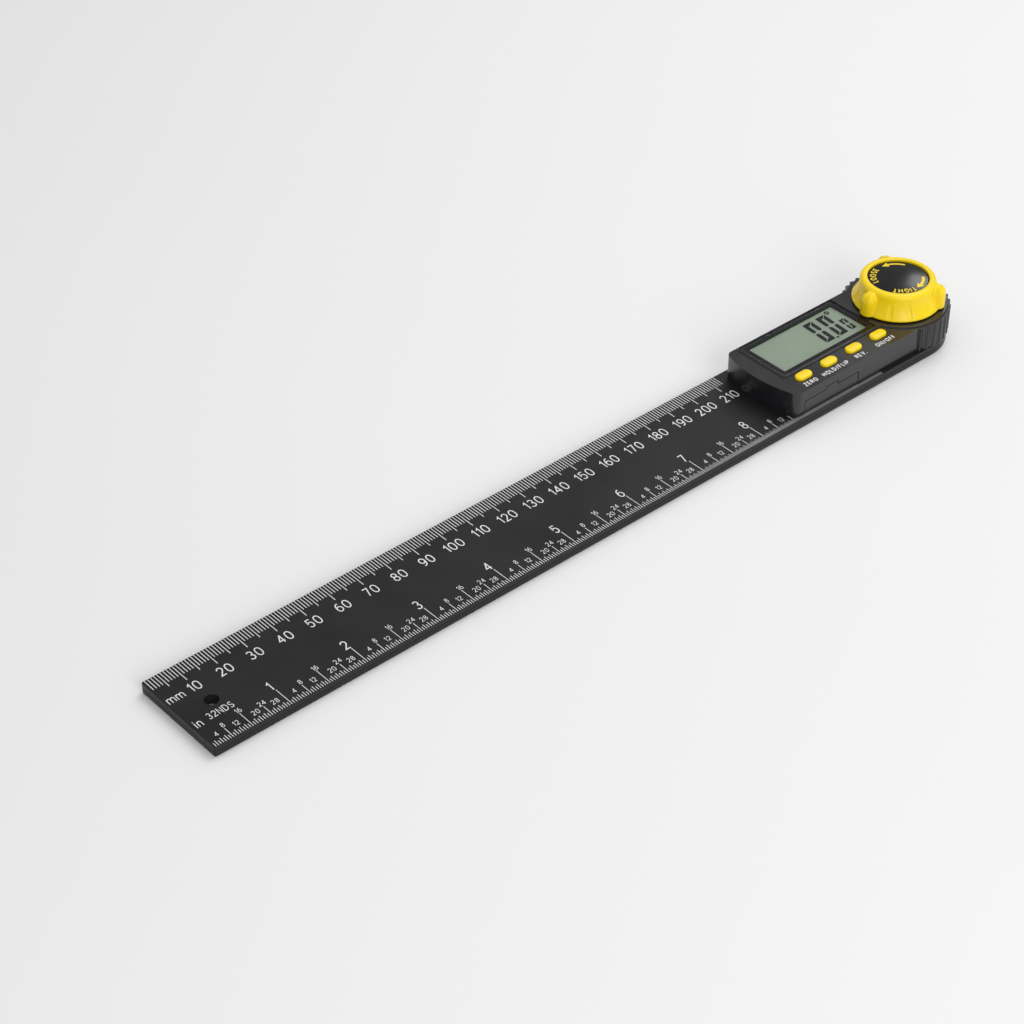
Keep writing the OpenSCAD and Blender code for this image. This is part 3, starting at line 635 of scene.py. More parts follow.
def cells(tree, scale, dimensions):
    """Distance from the nearest point of a Voronoi Texture on Object coordinates."""
    node = tree.nodes.new("ShaderNodeTexVoronoi")
    node.voronoi_dimensions = dimensions
    feed(tree, node.inputs["Scale"], scale)
    tree.links.new(object_place(tree), node.inputs["Vector"])
    return node.outputs["Distance"]


def span(tree, value, low, high, to_low=0.0, to_high=1.0):
    """A Map Range node; its limits are numbers or sockets."""
    node = tree.nodes.new("ShaderNodeMapRange")
    names = ("Value", "From Min", "From Max", "To Min", "To Max")
    for name, given in zip(names, (value, low, high, to_low, to_high)):
        feed(tree, node.inputs[name], given)
    return node.outputs[0]


def mixed(tree, mask, first, second):
    """A colour Mix node."""
    node = tree.nodes.new("ShaderNodeMix")
    node.data_type = "RGBA"
    for place, given in ((0, mask), (6, first), (7, second)):
        feed(tree, node.inputs[place], given)
    return node.outputs[2]


@cache
def skin_group():
    """Shared surface of mouldings and coats: a patchy tone, uneven gloss and a fine grain."""
    takes = (("Color", "Colour"), ("Color", "Worn Colour"), ("Float", "Patch Scale"),
             ("Float", "Grain Scale"), ("Float", "Gloss Low"), ("Float", "Gloss High"))
    tree, take, give = node_group("uneven_skin", "Shader", takes, SURFACE)
    patch = noise(tree, take["Patch Scale"], 3.0)
    grain = noise(tree, take["Grain Scale"], 2.0)
    both = maths(tree, "ADD", maths(tree, "MULTIPLY", patch, 0.7), maths(tree, "MULTIPLY", grain, 0.3))
    tone = mixed(tree, span(tree, both, 0.38, 0.66), take["Colour"], take["Worn Colour"])
    gloss = span(tree, patch, 0.35, 0.65, take["Gloss Low"], take["Gloss High"])
    tree.links.new(tone, give["Colour"])
    tree.links.new(gloss, give["Roughness"])
    tree.links.new(grain, give["Height"])
    return tree


@cache
def drawn_group():
    """Shared surface of metals: fine lines along the part, with uneven gloss."""
    takes = (("Color", "Colour"), ("Color", "Dull Colour"), ("Float", "Line Scale"),
             ("Float", "Gloss Low"), ("Float", "Gloss High"))
    tree, take, give = node_group("drawn_metal", "Shader", takes, SURFACE)
    lines = noise(tree, take["Line Scale"], 4.0, Scale=(0.03, 1.0, 1.0))
    tone = mixed(tree, span(tree, lines, 0.3, 0.7), take["Colour"], take["Dull Colour"])
    gloss = span(tree, lines, 0.3, 0.7, take["Gloss Low"], take["Gloss High"])
    tree.links.new(tone, give["Colour"])
    tree.links.new(gloss, give["Roughness"])
    tree.links.new(lines, give["Height"])
    return tree


@cache
def dust_group():
    """Shared fine dust: a mask of scattered specks."""
    takes = (("Float", "Speck Scale"), ("Float", "Amount"))
    tree, take, give = node_group("fine_dust", "Shader", takes, [("Float", "Mask")])
    speck = span(tree, cells(tree, take["Speck Scale"], "3D"), 0.05, 0.16, 1.0, 0.0)
    thin = span(tree, noise(tree, 90.0, 3.0), 0.45, 0.62)
    mask = maths(tree, "MULTIPLY", maths(tree, "MULTIPLY", speck, thin), take["Amount"])
    tree.links.new(mask, give["Mask"])
    return tree


def blank(name):
    """A new material with its Principled shader; returns material, tree and shader."""
    material = bpy.data.materials.new(name)
    material.use_nodes = True
    tree = material.node_tree
    return material, tree, tree.nodes["Principled BSDF"]


def group_node(tree, group, **values):
    """A node group in a material, with its values set."""
    node = tree.nodes.new("ShaderNodeGroup")
    node.node_tree = group
    for name, value in values.items():
        node.inputs[name.replace("_", " ")].default_value = value
    return node.outputs


def skin_node(tree, colour, worn, patch, grain, gloss):
    """The shared surface of mouldings in a material; gloss is its least and most roughness."""
    return group_node(tree, skin_group(), Colour=rgba(colour), Worn_Colour=rgba(worn), Patch_Scale=patch,
                      Grain_Scale=grain, Gloss_Low=gloss[0], Gloss_High=gloss[1])


def raise_bump(tree, shader, height, strength, depth):
    """A Bump node from a height into the shader's normal."""
    bump = tree.nodes.new("ShaderNodeBump")
    bump.inputs["Strength"].default_value = strength
    bump.inputs["Distance"].default_value = depth
    tree.links.new(height, bump.inputs["Height"])
    tree.links.new(bump.outputs[0], shader.inputs["Normal"])


def skin_finish(name, colour, worn, patch, grain, gloss, bump, depth, dust=0.0, specular=0.5):
    """A moulded or coated finish; depth is that of the grain, in metres."""
    material, tree, shader = blank(name)
    skin = skin_node(tree, colour, worn, patch, grain, gloss)
    tone = skin["Colour"]
    if dust:
        specks = group_node(tree, dust_group(), Speck_Scale=DUST_SCALE, Amount=dust)
        tone = mixed(tree, specks["Mask"], tone, DUST_COLOUR)
    tree.links.new(tone, shader.inputs["Base Color"])
    tree.links.new(skin["Roughness"], shader.inputs["Roughness"])
    raise_bump(tree, shader, skin["Height"], bump, depth)
    shader.inputs["Specular IOR Level"].default_value = specular
    return material


def metal_finish(name, colour, dull, lines, gloss):
    """A drawn or turned metal."""
    material, tree, shader = blank(name)
    drawn = group_node(tree, drawn_group(), Colour=rgba(colour), Dull_Colour=rgba(dull), Line_Scale=lines,
                       Gloss_Low=gloss[0], Gloss_High=gloss[1])
    tree.links.new(drawn["Colour"], shader.inputs["Base Color"])
    tree.links.new(drawn["Roughness"], shader.inputs["Roughness"])
    raise_bump(tree, shader, drawn["Height"], METAL_BUMP, METAL_DEPTH)
    shader.inputs["Metallic"].default_value = 1.0
    return material


@cache
def anodised():
    c = colours().anodised
    return skin_finish("black_anodised", c, shade(c, 1.5), patch=55.0, grain=5200.0, gloss=(0.36, 0.46),
                       bump=0.10, depth=0.02 * MM, dust=0.06, specular=0.3)


@cache
def moulded():
    c = colours().moulded
    return skin_finish("moulded_black", c, shade(c, 1.35), patch=70.0, grain=3200.0, gloss=(0.20, 0.28),
                       bump=0.06, depth=0.02 * MM, dust=0.08, specular=0.6)


@cache
def yellow():
    c = colours().yellow
    return skin_finish("yellow_plastic", c, shade(c, 0.95), patch=90.0, grain=2600.0, gloss=(0.30, 0.38),
                       bump=0.06, depth=0.03 * MM, specular=0.4)


@cache
def gloss_black():
    c = colours().cap
    return skin_finish("gloss_black", c, shade(c, 1.3), patch=80.0, grain=900.0, gloss=(0.10, 0.15),
                       bump=0.03, depth=0.02 * MM, dust=0.05, specular=0.3)


@cache
def border_black():
    c = colours().cap
    return skin_finish("border_black", shade(c, 0.8), c, patch=80.0, grain=2400.0, gloss=(0.45, 0.60),
                       bump=0.03, depth=0.01 * MM, specular=0.05)


@cache
def white_print():
    c = colours().print_white
    return skin_finish("white_print", c, shade(c, 0.82), patch=160.0, grain=4200.0, gloss=(0.48, 0.60),
                       bump=0.10, depth=0.01 * MM)


@cache
def yellow_print():
    c = colours().yellow
    return skin_finish("yellow_print", c, shade(c, 0.85), patch=160.0, grain=4200.0, gloss=(0.42, 0.55),
                       bump=0.10, depth=0.01 * MM)


@cache
def display_ink():
    c = colours().ink
    return skin_finish("display_reading", c, shade(c, 1.8), patch=300.0, grain=3000.0, gloss=(0.45, 0.55),
                       bump=0.02, depth=0.01 * MM, specular=0.05)


@cache
def display_face():
    c = colours().display
    return skin_finish("display_face", c, shade(c, 0.90), patch=45.0, grain=7000.0, gloss=(0.38, 0.46),
                       bump=0.04, depth=0.01 * MM)


@cache
def rubber():
    return skin_finish("grey_rubber", (0.055, 0.055, 0.06), (0.075, 0.075, 0.08), patch=200.0, grain=4000.0,
                       gloss=(0.65, 0.8), bump=0.2, depth=0.03 * MM)


@cache
def resin():
    return skin_finish("black_resin", (0.006, 0.006, 0.006), (0.012, 0.012, 0.012), patch=300.0, grain=2500.0,
                       gloss=(0.2, 0.35), bump=0.2, depth=0.05 * MM)


@cache
def nylon():
    return skin_finish("pale_nylon", (0.62, 0.58, 0.46), (0.55, 0.50, 0.38), patch=120.0, grain=2500.0,
                       gloss=(0.45, 0.6), bump=0.12, depth=0.03 * MM)


@cache
def steel():
    return metal_finish("bright_steel", (0.55, 0.55, 0.56), (0.38, 0.38, 0.39), lines=2600.0,
                        gloss=(0.22, 0.38))


@cache
def dark_steel():
    return metal_finish("black_steel", (0.06, 0.06, 0.065), (0.035, 0.035, 0.04), lines=2600.0,
                        gloss=(0.3, 0.45))


@cache
def brass():
    return metal_finish("turned_brass", (0.70, 0.50, 0.20), (0.52, 0.36, 0.14), lines=2200.0,
                        gloss=(0.22, 0.36))


@cache
def gilt():
    return metal_finish("gilt_spring", (0.83, 0.62, 0.24), (0.66, 0.47, 0.18), lines=2200.0,
                        gloss=(0.2, 0.3))


def track_lines(tree, pitch, length, width, turn):
    """A mask of long tracks side by side, turned about the board's upright; sizes in metres."""
    lines = tree.nodes.new("ShaderNodeTexBrick")
    lines.offset = 0.37
    lines.inputs["Scale"].default_value = 1.0
    lines.inputs["Mortar Size"].default_value = width / 2
    lines.inputs["Mortar Smooth"].default_value = 0.1
    lines.inputs["Brick Width"].default_value = length
    lines.inputs["Row Height"].default_value = pitch
    tree.links.new(object_place(tree, Rotation=(0, 0, turn)), lines.inputs["Vector"])
    return lines.outputs["Fac"]


@cache
def circuit_green():
    """Solder mask over copper tracks that run along the board or across it, with tinned holes."""
    material, tree, shader = blank("circuit_green")
    green, light_green = (0.012, 0.085, 0.030), (0.016, 0.105, 0.040)
    copper_under_green, tin = (0.04, 0.20, 0.075, 1), (0.50, 0.49, 0.45, 1)
    width = 0.3 * MM
    skin = skin_node(tree, green, light_green, patch=120.0, grain=3000.0, gloss=(0.25, 0.36))
    field = noise(tree, 130.0, 0.0)
    along = track_lines(tree, 0.9 * MM, 17 * MM, width, 0.0)
    across = track_lines(tree, 1.1 * MM, 11 * MM, width, math.pi / 2)
    along = maths(tree, "MULTIPLY", along, span(tree, field, 0.53, 0.54))
    across = maths(tree, "MULTIPLY", across, span(tree, field, 0.47, 0.46))
    tracks = maths(tree, "MAXIMUM", along, across)
    holes = span(tree, cells(tree, 260.0, "2D"), 0.10, 0.12, 1.0, 0.0)
    tone = mixed(tree, tracks, skin["Colour"], copper_under_green)
    tree.links.new(mixed(tree, holes, tone, tin), shader.inputs["Base Color"])
    tree.links.new(skin["Roughness"], shader.inputs["Roughness"])
    raise_bump(tree, shader, maths(tree, "MAXIMUM", tracks, holes), 0.3, 0.03 * MM)
    return material


@cache
def lens_clear():
    """Clear lens that lets the lamps light the display under it."""
    material, tree, shader = blank("lens_clear")
    shader.inputs["Base Color"].default_value = (0.97, 0.98, 0.97, 1)
    shader.inputs["Transmission Weight"].default_value = 1.0
    shader.inputs["IOR"].default_value = 1.06
    shader.inputs["Roughness"].default_value = 0.0
    shader.inputs["Coat IOR"].default_value = 1.2
    shader.inputs["Coat Roughness"].default_value = 0.04
    smear = span(tree, noise(tree, 70.0, 4.0), 0.45, 0.7, 1.0, 0.75)
    tree.links.new(smear, shader.inputs["Coat Weight"])
    clear = tree.nodes.new("ShaderNodeBsdfTransparent")
    path = tree.nodes.new("ShaderNodeLightPath").outputs
    pick = tree.nodes.new("ShaderNodeMixShader")
    tree.links.new(maths(tree, "MAXIMUM", path["Is Shadow Ray"], path["Is Diffuse Ray"]), pick.inputs[0])
    tree.links.new(shader.outputs[0], pick.inputs[1])
    tree.links.new(clear.outputs[0], pick.inputs[2])
    tree.links.new(pick.outputs[0], tree.nodes["Material Output"].inputs["Surface"])
    return material


# Scales


INCH = 25.4 * MM
INCH_PARTS = 32
# Gaps between the lines and the blade's far and near edge
FAR_GAP = 0.1 * MM
NEAR_GAP = 0.15 * MM
# Rows and shifts of the numbers, in millimetres from the near edge and from their line
NUMBER_ROW = 22.95
INCH_ROW = 9.5
INCH_SHIFT = -0.6
FRACTION_ROWS = {4: 4.0, 8: 5.7, 12: 4.0, 16: 7.5, 20: 4.0, 24: 5.7, 28: 4.0}
FRACTION_SHIFT = 0.3
# Ranks of the inch scale: every how many lines, and their share of the longest line
INCH_RANKS = ((1, 0.2), (2, 0.28), (8, 0.57), (16, 0.86), (32, 1.0))
# Width of an inch scale's line, as a share of a millimetre line's
INCH_LINE_WIDTH = 0.85
# Unit words: text, share of the height, place in millimetres and share of the width
UNIT_WORDS = (
    ("mm", 1.0, 3.55, 22.6, 0.8),
    ("in", 1.0, 2.2, 10.3, 0.85),
    ("32NDS", 0.82, 9.55, 10.75, 0.84),
)


def scale_row(name, count, pitch, width, towards_y, ranks):
    """A row of scale lines; each rank is every how many lines, and how long they are."""
    values = {"Count": count, "First": 1, "Pitch": pitch, "Line Width": width, "Towards Y": towards_y,
              "Finish": white_print()}
    for rank, (every, length) in enumerate(ranks, 1):
        values[f"Every {rank}"] = every
        values[f"Length {rank}"] = length
    return grown(name, scale_line_nodes(), values)


def blade_print(name, top, body, reach, inches):
    """Both scales of a blade, with units and numbers up to the reach in millimetres."""
    s = bpy.context.scene.gauge_scales
    z = top + s.lift
    ranks = ((1, s.millimetre_line), (5, s.five_line), (10, s.ten_line))
    millimetres = scale_row(name + "_millimetres", reach, MM, s.line_width, 0.0, ranks)
    millimetres.data.transform(Matrix.Translation((LEFT + MM, FAR - FAR_GAP, z)))
    settle(millimetres, body, "blade")
    pitch = INCH / INCH_PARTS
    ranks = [(every, share * s.inch_line) for every, share in INCH_RANKS]
    width = INCH_LINE_WIDTH * s.line_width
    fractions = scale_row(name + "_inches", INCH_PARTS * inches, pitch, width, 1.0, ranks)
    fractions.data.transform(Matrix.Translation((LEFT + pitch, NEAR + NEAR_GAP, z)))
    settle(fractions, body, "blade")
    words = Print()

    def number(value, height, x, row):
        words.word(str(value), height, LEFT + x, NEAR + row * MM, z, s.number_weight, s.number_narrow)

    for value in range(10, reach + 1, 10):
        number(value, s.number_height, value * MM, NUMBER_ROW)
    for count in range(4, INCH_PARTS * inches + 1, 4):
        place = count * pitch
        if place >= reach * MM:
            break
        whole, part = divmod(count, INCH_PARTS)
        if part:
            number(part, s.fraction_height, place + FRACTION_SHIFT * MM, FRACTION_ROWS[part])
        else:
            number(whole, s.number_height, place + INCH_SHIFT * MM, INCH_ROW)
    for text, share, x, row, narrow in UNIT_WORDS:
        words.word(text, share * s.unit_height, LEFT + x * MM, NEAR + row * MM, z, s.number_weight, narrow)
    settle(words.piece(name + "_numbers", white_print()), body, "blade")


# Screws


SCREW_COLUMNS = 32


def countersunk(height):
    """Outline of a countersunk screw, from its face at 0 to its tip."""
    head, shank, rim = 1.9 * MM, 1.0 * MM, 0.08 * MM
    tip_r, tip = 0.5 * MM, 0.4 * MM
    return [(0, 0), (head, 0), (head, rim), (shank, head - shank), (shank, height - tip), (tip_r, height),
            (0, height)]


def pan_head(height):
    """Outline of a pan-head screw, from its face at 0 to its tip."""
    face, head, shank = 0.9 * MM, 1.1 * MM, 0.6 * MM
    shoulder, thick = 0.2 * MM, 0.5 * MM
    tip_r, tip = 0.3 * MM, 0.3 * MM
    return [(0, 0), (face, 0), (head, shoulder), (head, thick), (shank, thick), (shank, height - tip),
            (tip_r, height), (0, height)]


def screw_mesh(name, profile, recess):
    """A turned screw with a cross recess in its face; recess is its length, width and depth."""
    points, faces = lathe(profile, SCREW_COLUMNS)
    piece = piece_of(name, points, faces, steel())
    length, width, depth = recess
    for turn in (0, math.pi / 2):
        cutter = link(bpy.data.objects.new("recess", bpy.data.meshes.new("recess")))
        work = bmesh.new()
        bmesh.ops.create_cube(work, size=1.0)
        shape = Matrix.Rotation(turn, 4, "Z") @ Matrix.Diagonal((length, width, 2 * depth, 1))
        bmesh.ops.transform(work, verts=work.verts, matrix=shape)
        work.to_mesh(cutter.data)
        work.free()
        cut = piece.modifiers.new("recess", "BOOLEAN")
        cut.object = cutter
        cut.operation = "DIFFERENCE"
        cut.solver = "EXACT"
        plain(piece)
        bpy.data.objects.remove(cutter)
    return piece


def island_feet(node):
    """Middle of the foot of each loose part of a CAD node."""
    work = merged(node)
    feet, seen = [], set()
    for start in work.verts:
        if start in seen:
            continue
        seen.add(start)
        island, edge = [], [start]
        while edge:
            vert = edge.pop()
            island.append(vert.co.copy())
            others = {near.other_vert(vert) for near in vert.link_edges} - seen
            seen |= others
            edge += others
        low = [min(p[axis] for p in island) for axis in range(3)]
        high = [max(p[axis] for p in island) for axis in range(3)]
        feet.append(Vector(((low[0] + high[0]) / 2, (low[1] + high[1]) / 2, low[2])))
    work.free()
    return feet


def screw_set(node, profile_of, finish, recess):
    """Four like screws in place of a CAD node that holds all four."""
    low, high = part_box(node)
    part = screw_mesh("one_" + node, profile_of(high.z - low.z), recess)
    piece = grown(node + "_cross", placed_copy_nodes(), {"Part": part, "Finish": finish}, island_feet(node))
    bpy.data.objects.remove(part)
    return settle(piece, frame["nodes"][node]["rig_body"], "steel", node)


# Knob


# Sizes in millimetres with heights from the floor, angles in degrees, and plain numbers for the curves
KNOB = {
    "bottom": 12.9, "skirt": 13.3, "rim": 13.5, "neck": 19.75, "crown": 20.5, "top": 21.1,
    "base_r": 14.1, "neck_r": 12.05, "flare": 5.1, "bend": 1.7, "lip": 1.35, "wall": 1.6, "edge": 0.25,
    "lobes": (60, 180, 300), "lobe_pitch": 120, "lobe_span": 30, "lobe_reach": 15.4, "lobe_r": 2.3,
    "lobe_round": 3.2, "lobe_flat": 0.25, "lobe_taper": 0.97, "lobe_fall": 5, "lobe_corner": 0.5,
    "lobe_blend": 1.5,
    "grooves": (33, 60, 87), "groove_half": 3.45, "groove": 0.35, "groove_foot": 0.12, "groove_length": 4.85,
    "groove_start": 12, "groove_square": 6,
    "seat_r": 9.75, "seat": 19.62, "seat_edge": 0.2, "deck": 18.05, "boss_r": 7.4, "bore_r": 3.2,
}
# Rows of points up the knob's wall, and over its lip
WALL_ROWS = 48
LIP_ROWS = 15
# Angles of the rows round a small edge
QUARTER = (0, 30, 60, 90)


def knob_angles():
    """Angles round the knob: every 0.5 degrees at its lobes, 0.3 at its grooves and 2.2 elsewhere."""
    marks = [0.5 * k for k in range(-32, 33)] + [16 + 2.2 * k for k in range(41)]
    for groove in KNOB["grooves"]:
        marks += [groove + 0.3 * k for k in range(-14, 15)]
    angles = {round((lobe + mark) % 360, 1) for lobe in KNOB["lobes"] for mark in marks}
    return [math.radians(a) for a in sorted(angles)]


def soft_max(a, b, k):
    """The larger of two lengths, blended over k where they meet."""
    h = max(k - abs(a - b), 0.0) / k
    return max(a, b) + h * h * k / 4


def knob_wall(z):
    """Radius of the knob's flared wall at a height, in millimetres."""
    k = KNOB
    left = max(0.0, 1 - (z - k["rim"]) / k["flare"])
    return k["neck_r"] + (k["base_r"] - k["neck_r"]) * left ** k["bend"]


def groove_depth(turn, z):
    """Depth of the grooves at an angle from the lobe before them; they fade out upwards."""
    k = KNOB
    rise = (z - k["rim"] - k["groove_foot"]) / k["groove_length"]
    depth = 0.0
    for groove in k["grooves"]:
        across = abs(turn - groove) / k["groove_half"]
        if across < 1 and 0 < rise < 1:
            side = 1 - across ** k["groove_square"]
            depth += k["groove"] * side * (1 - rise * rise) * min(1.0, k["groove_start"] * rise)
    return depth


def knob_radius(ring, z, angle):
    """Distance from the axis to the knob's outside, where its wall has the radius ring."""
    k = KNOB
    turn = (math.degrees(angle) - k["lobes"][0]) % k["lobe_pitch"]
    off = turn if turn < k["lobe_pitch"] / 2 else turn - k["lobe_pitch"]
    ring -= groove_depth(turn, z)
    if abs(off) > k["lobe_span"] or z > k["crown"]:
        return ring
    up = max(0.0, 1 - (k["crown"] - z) / k["lobe_round"])
    half = k["lobe_r"] * math.sqrt(1 - k["lobe_taper"] * up * up)
    half -= max(0.0, k["bottom"] + k["edge"] - z)
    middle = k["lobe_reach"] - k["lobe_r"] + k["lobe_flat"]
    side = abs(middle * math.sin(math.radians(off)))
    lobe = middle * math.cos(math.radians(off))
    lobe += math.sqrt(half * half - side * side) if side < half else k["lobe_fall"] * (half - side)
    limit = k["lobe_reach"] - k["lobe_round"] * (1 - math.sqrt(1 - up * up))
    return soft_max(ring, -soft_max(-lobe, -limit, k["lobe_corner"]), k["lobe_blend"])


def knob_outside():
    """Radius and height of each row of the knob's outside, from its foot up and over the lip."""
    k = KNOB
    rows = []
    for a in map(math.radians, QUARTER):
        out, up = k["edge"] * (1 - math.sin(a)), k["edge"] * (1 - math.cos(a))
        rows.append((k["base_r"] - out, k["bottom"] + up))
    rows += [(k["base_r"], k["skirt"]), (k["base_r"], k["rim"])]
    for i in range(1, WALL_ROWS):
        z = k["rim"] + (k["neck"] - k["rim"]) * i / WALL_ROWS
        rows.append((knob_wall(z), z))
    for i in range(LIP_ROWS + 1):
        a = math.radians(90 * i / LIP_ROWS)
        rows.append((k["neck_r"] - k["lip"] * (1 - math.cos(a)), k["top"] - k["lip"] * (1 - math.sin(a))))
    return rows


def knob_inside():
    """Radius and height of each row of the knob's inside: the cap's seat, the bore, the boss and the room."""
    k = KNOB
    room = k["base_r"] - k["wall"]
    rows = []
    for a in map(math.radians, QUARTER):
        out, down = k["seat_edge"] * (1 - math.sin(a)), k["seat_edge"] * (1 - math.cos(a))
        rows.append((k["seat_r"] + out, k["top"] - down))
    rows += [(k["seat_r"], k["seat"]), (k["bore_r"], k["seat"]), (k["bore_r"], k["bottom"])]
    rows += [(k["boss_r"], k["bottom"]), (k["boss_r"], k["deck"])]
    rows += [(knob_wall(k["deck"]) - k["wall"], k["deck"]), (room, k["rim"]), (room, k["bottom"])]
    return rows


def on_knob(radius, z, angle):
    """A point round the pivot, from millimetres."""
    r = radius * MM
    return PIVOT + Vector((r * math.cos(angle), r * math.sin(angle), z * MM))


def knob_piece():
    """The knob's whole skin: flared wall with lobes and grooves, a room inside and a seat for the cap."""
    angles = knob_angles()
    rows = [[on_knob(knob_radius(ring, z, a), z, a) for a in angles] for ring, z in knob_outside()]
    rows += [[on_knob(ring, z, a) for a in angles] for ring, z in knob_inside()]
    points, faces = wrapped(rows, closed=True)
    return piece_of("knob_body", points, faces, yellow(), crease=50)


# Cap


CAP_DOME = 0.4 * MM
CAP_EDGE = 0.15 * MM
CAP_ROWS = 24
CAP_COLUMNS = 128
# Words: text, angle of the middle and distance from the axis in millimetres
CAP_WORDS = (("LOOSE", 131, 7.9), ("TIGHT", -122, 7.7))
CAP_WORD_WIDTH = 1.06
# Arrows: angle of the start and of the point, and width of the shaft in millimetres
CAP_ARROWS = ((27, 84, 0.8), (-38, -89, 0.9))
ARROW_R = 7.8 * MM
ARROW_HEAD = 17
ARROW_SPREAD = 2.5 * MM
ARROW_STEPS = 14


def cap_height(r):
    """Height of the cap's face at a distance from its middle."""
    ball = (CAP_R * CAP_R + CAP_DOME * CAP_DOME) / (2 * CAP_DOME)
    return CAP_HIGH.z - (ball - math.sqrt(ball * ball - r * r))


def cap_piece():
    """The cap's domed disc."""
    rim = cap_height(CAP_R)
    corner = 0.3 * CAP_EDGE
    profile = [(0, CAP_LOW.z), (CAP_R, CAP_LOW.z), (CAP_R, rim - CAP_EDGE), (CAP_R - corner, rim - corner)]
    for i in range(CAP_ROWS + 1):
        r = (CAP_R - CAP_EDGE) * (1 - i / CAP_ROWS)
        profile.append((r, cap_height(r)))
    points, faces = lathe(profile, CAP_COLUMNS)
    return piece_of("cap_face", [PIVOT + p for p in points], faces, gloss_black())


def on_cap(angle, radius, lift):
    return PIVOT + Vector((radius * math.cos(angle), radius * math.sin(angle), cap_height(radius) + lift))


def cap_word(sheet, text, height, middle, radius, lift):
    """A word round the cap, clockwise and with its tops outwards."""
    points, faces = letters(text, bpy.context.scene.gauge_scales.word_weight)
    turn = height * CAP_WORD_WIDTH / radius
    aim = math.radians(middle)
    places = [(aim - p.x * turn, radius + p.y * height, lift + p.z * STROKE_STEP) for p in points]
    sheet.add([on_cap(*place) for place in places], faces)


def cap_arrow(sheet, start, end, width, lift):
    """A bent arrow from the start angle to the end angle, with a pointed head."""
    turn = 1 if end > start else -1
    neck = end - turn * ARROW_HEAD
    near, far = ARROW_R - width / 2, ARROW_R + width / 2
    for i in range(ARROW_STEPS):
        a0 = math.radians(start + (neck - start) * i / ARROW_STEPS)
        a1 = math.radians(start + (neck - start) * (i + 1) / ARROW_STEPS)
        ring = [on_cap(a0, near, lift), on_cap(a0, far, lift), on_cap(a1, far, lift), on_cap(a1, near, lift)]
        sheet.polygon(ring if turn < 0 else ring[::-1])
    corners = ((neck, ARROW_R - ARROW_SPREAD / 2), (neck, ARROW_R + ARROW_SPREAD / 2), (end, ARROW_R))
    tip = [on_cap(math.radians(angle), radius, lift) for angle, radius in corners]
    sheet.polygon(tip if turn < 0 else tip[::-1])


# Buttons


BUTTONS = ("zero", "hold", "reverse", "power")
BUTTON_COLUMNS = 48
# Words beside the buttons and their places along the blade, in millimetres
BUTTON_WORDS = (("ZERO", 224.9), ("HOLD/FLIP", 235.7), ("REV.", 246.9), ("ON/OFF", 258.0))
BUTTON_WORD_ROW = 3.6


def stadium_ring(length, width):
    """Points round an outline with round ends, from the right-hand end, counter-clockwise."""
    r = width / 2
    straight = max(length - width, 0.0) / 2
    ring = []
    for k in range(BUTTON_COLUMNS):
        a = 2 * math.pi * k / BUTTON_COLUMNS
        shift = straight if math.cos(a) > 1e-9 else -straight if math.cos(a) < -1e-9 else 0
        ring.append((shift + r * math.cos(a), r * math.sin(a)))
    return ring


def button_piece(node, name):
    """A button with a rounded, slightly crowned face, its foot and its stem."""
    foot, soft, stem, crown = 0.55 * MM, 0.55 * MM, 1.8 * MM, 0.12 * MM
    strip_wall, play = 1.4 * MM, 0.15 * MM
    low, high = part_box(node)
    cx, cy = (low.x + high.x) / 2, (low.y + high.y) / 2
    length, width = high.x - low.x - 2 * foot, high.y - low.y - 2 * foot
    foot_top = STRIP_TOP - strip_wall - play
    foot_low = foot_top - foot
    rim = high.z - crown

    def outline(offset):
        return stadium_ring(length + 2 * offset, width + 2 * offset)

    levels = [(stadium_ring(stem, stem), low.z), (stadium_ring(stem, stem), foot_low)]
    levels += [(outline(foot), foot_low), (outline(foot), foot_top)]
    levels += [(outline(0), foot_top), (outline(0), rim - soft)]
    for t in map(math.radians, (15, 30, 45, 60, 75, 90)):
        levels.append((outline(-soft * (1 - math.cos(t))), rim - soft * (1 - math.sin(t))))
    for share in (0.75, 0.5, 0.25, 0.05):
        inset = (width / 2 - soft) * (1 - share)
        levels.append((outline(-soft - inset), high.z - crown * share * share))
    rows = [[(cx + x, cy + y, z) for x, y in ring] for ring, z in levels]
    points, faces = wrapped(rows)
    top = len(points) - BUTTON_COLUMNS
    faces.append(tuple(range(BUTTON_COLUMNS - 1, -1, -1)))
    faces.append(tuple(range(top, len(points))))
    piece = piece_of(name, points, faces, yellow(), crease=50)
    return settle(piece, frame["nodes"][node]["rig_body"], "yellow", node)


# Display reading


# Places and sizes in millimetres, from the blade's square end and near edge
READING_ROW = 15.4
READING_LEAN = 0.075
SEGMENT_GAP = 0.16 * MM
# Noughts: left side, width, height and stroke
NOUGHTS = ((244.5, 3.95, 11.6, 1.5), (250.25, 3.95, 11.6, 1.5), (255.55, 2.4, 6.2, 0.95))
# The point's place and radius
POINT = (249.4, 15.45, 0.5)
# The degree ring's place, inner and outer radius
DEGREE = (256.4, 27.0, 0.34, 0.9)
ROUND_STEPS = 20


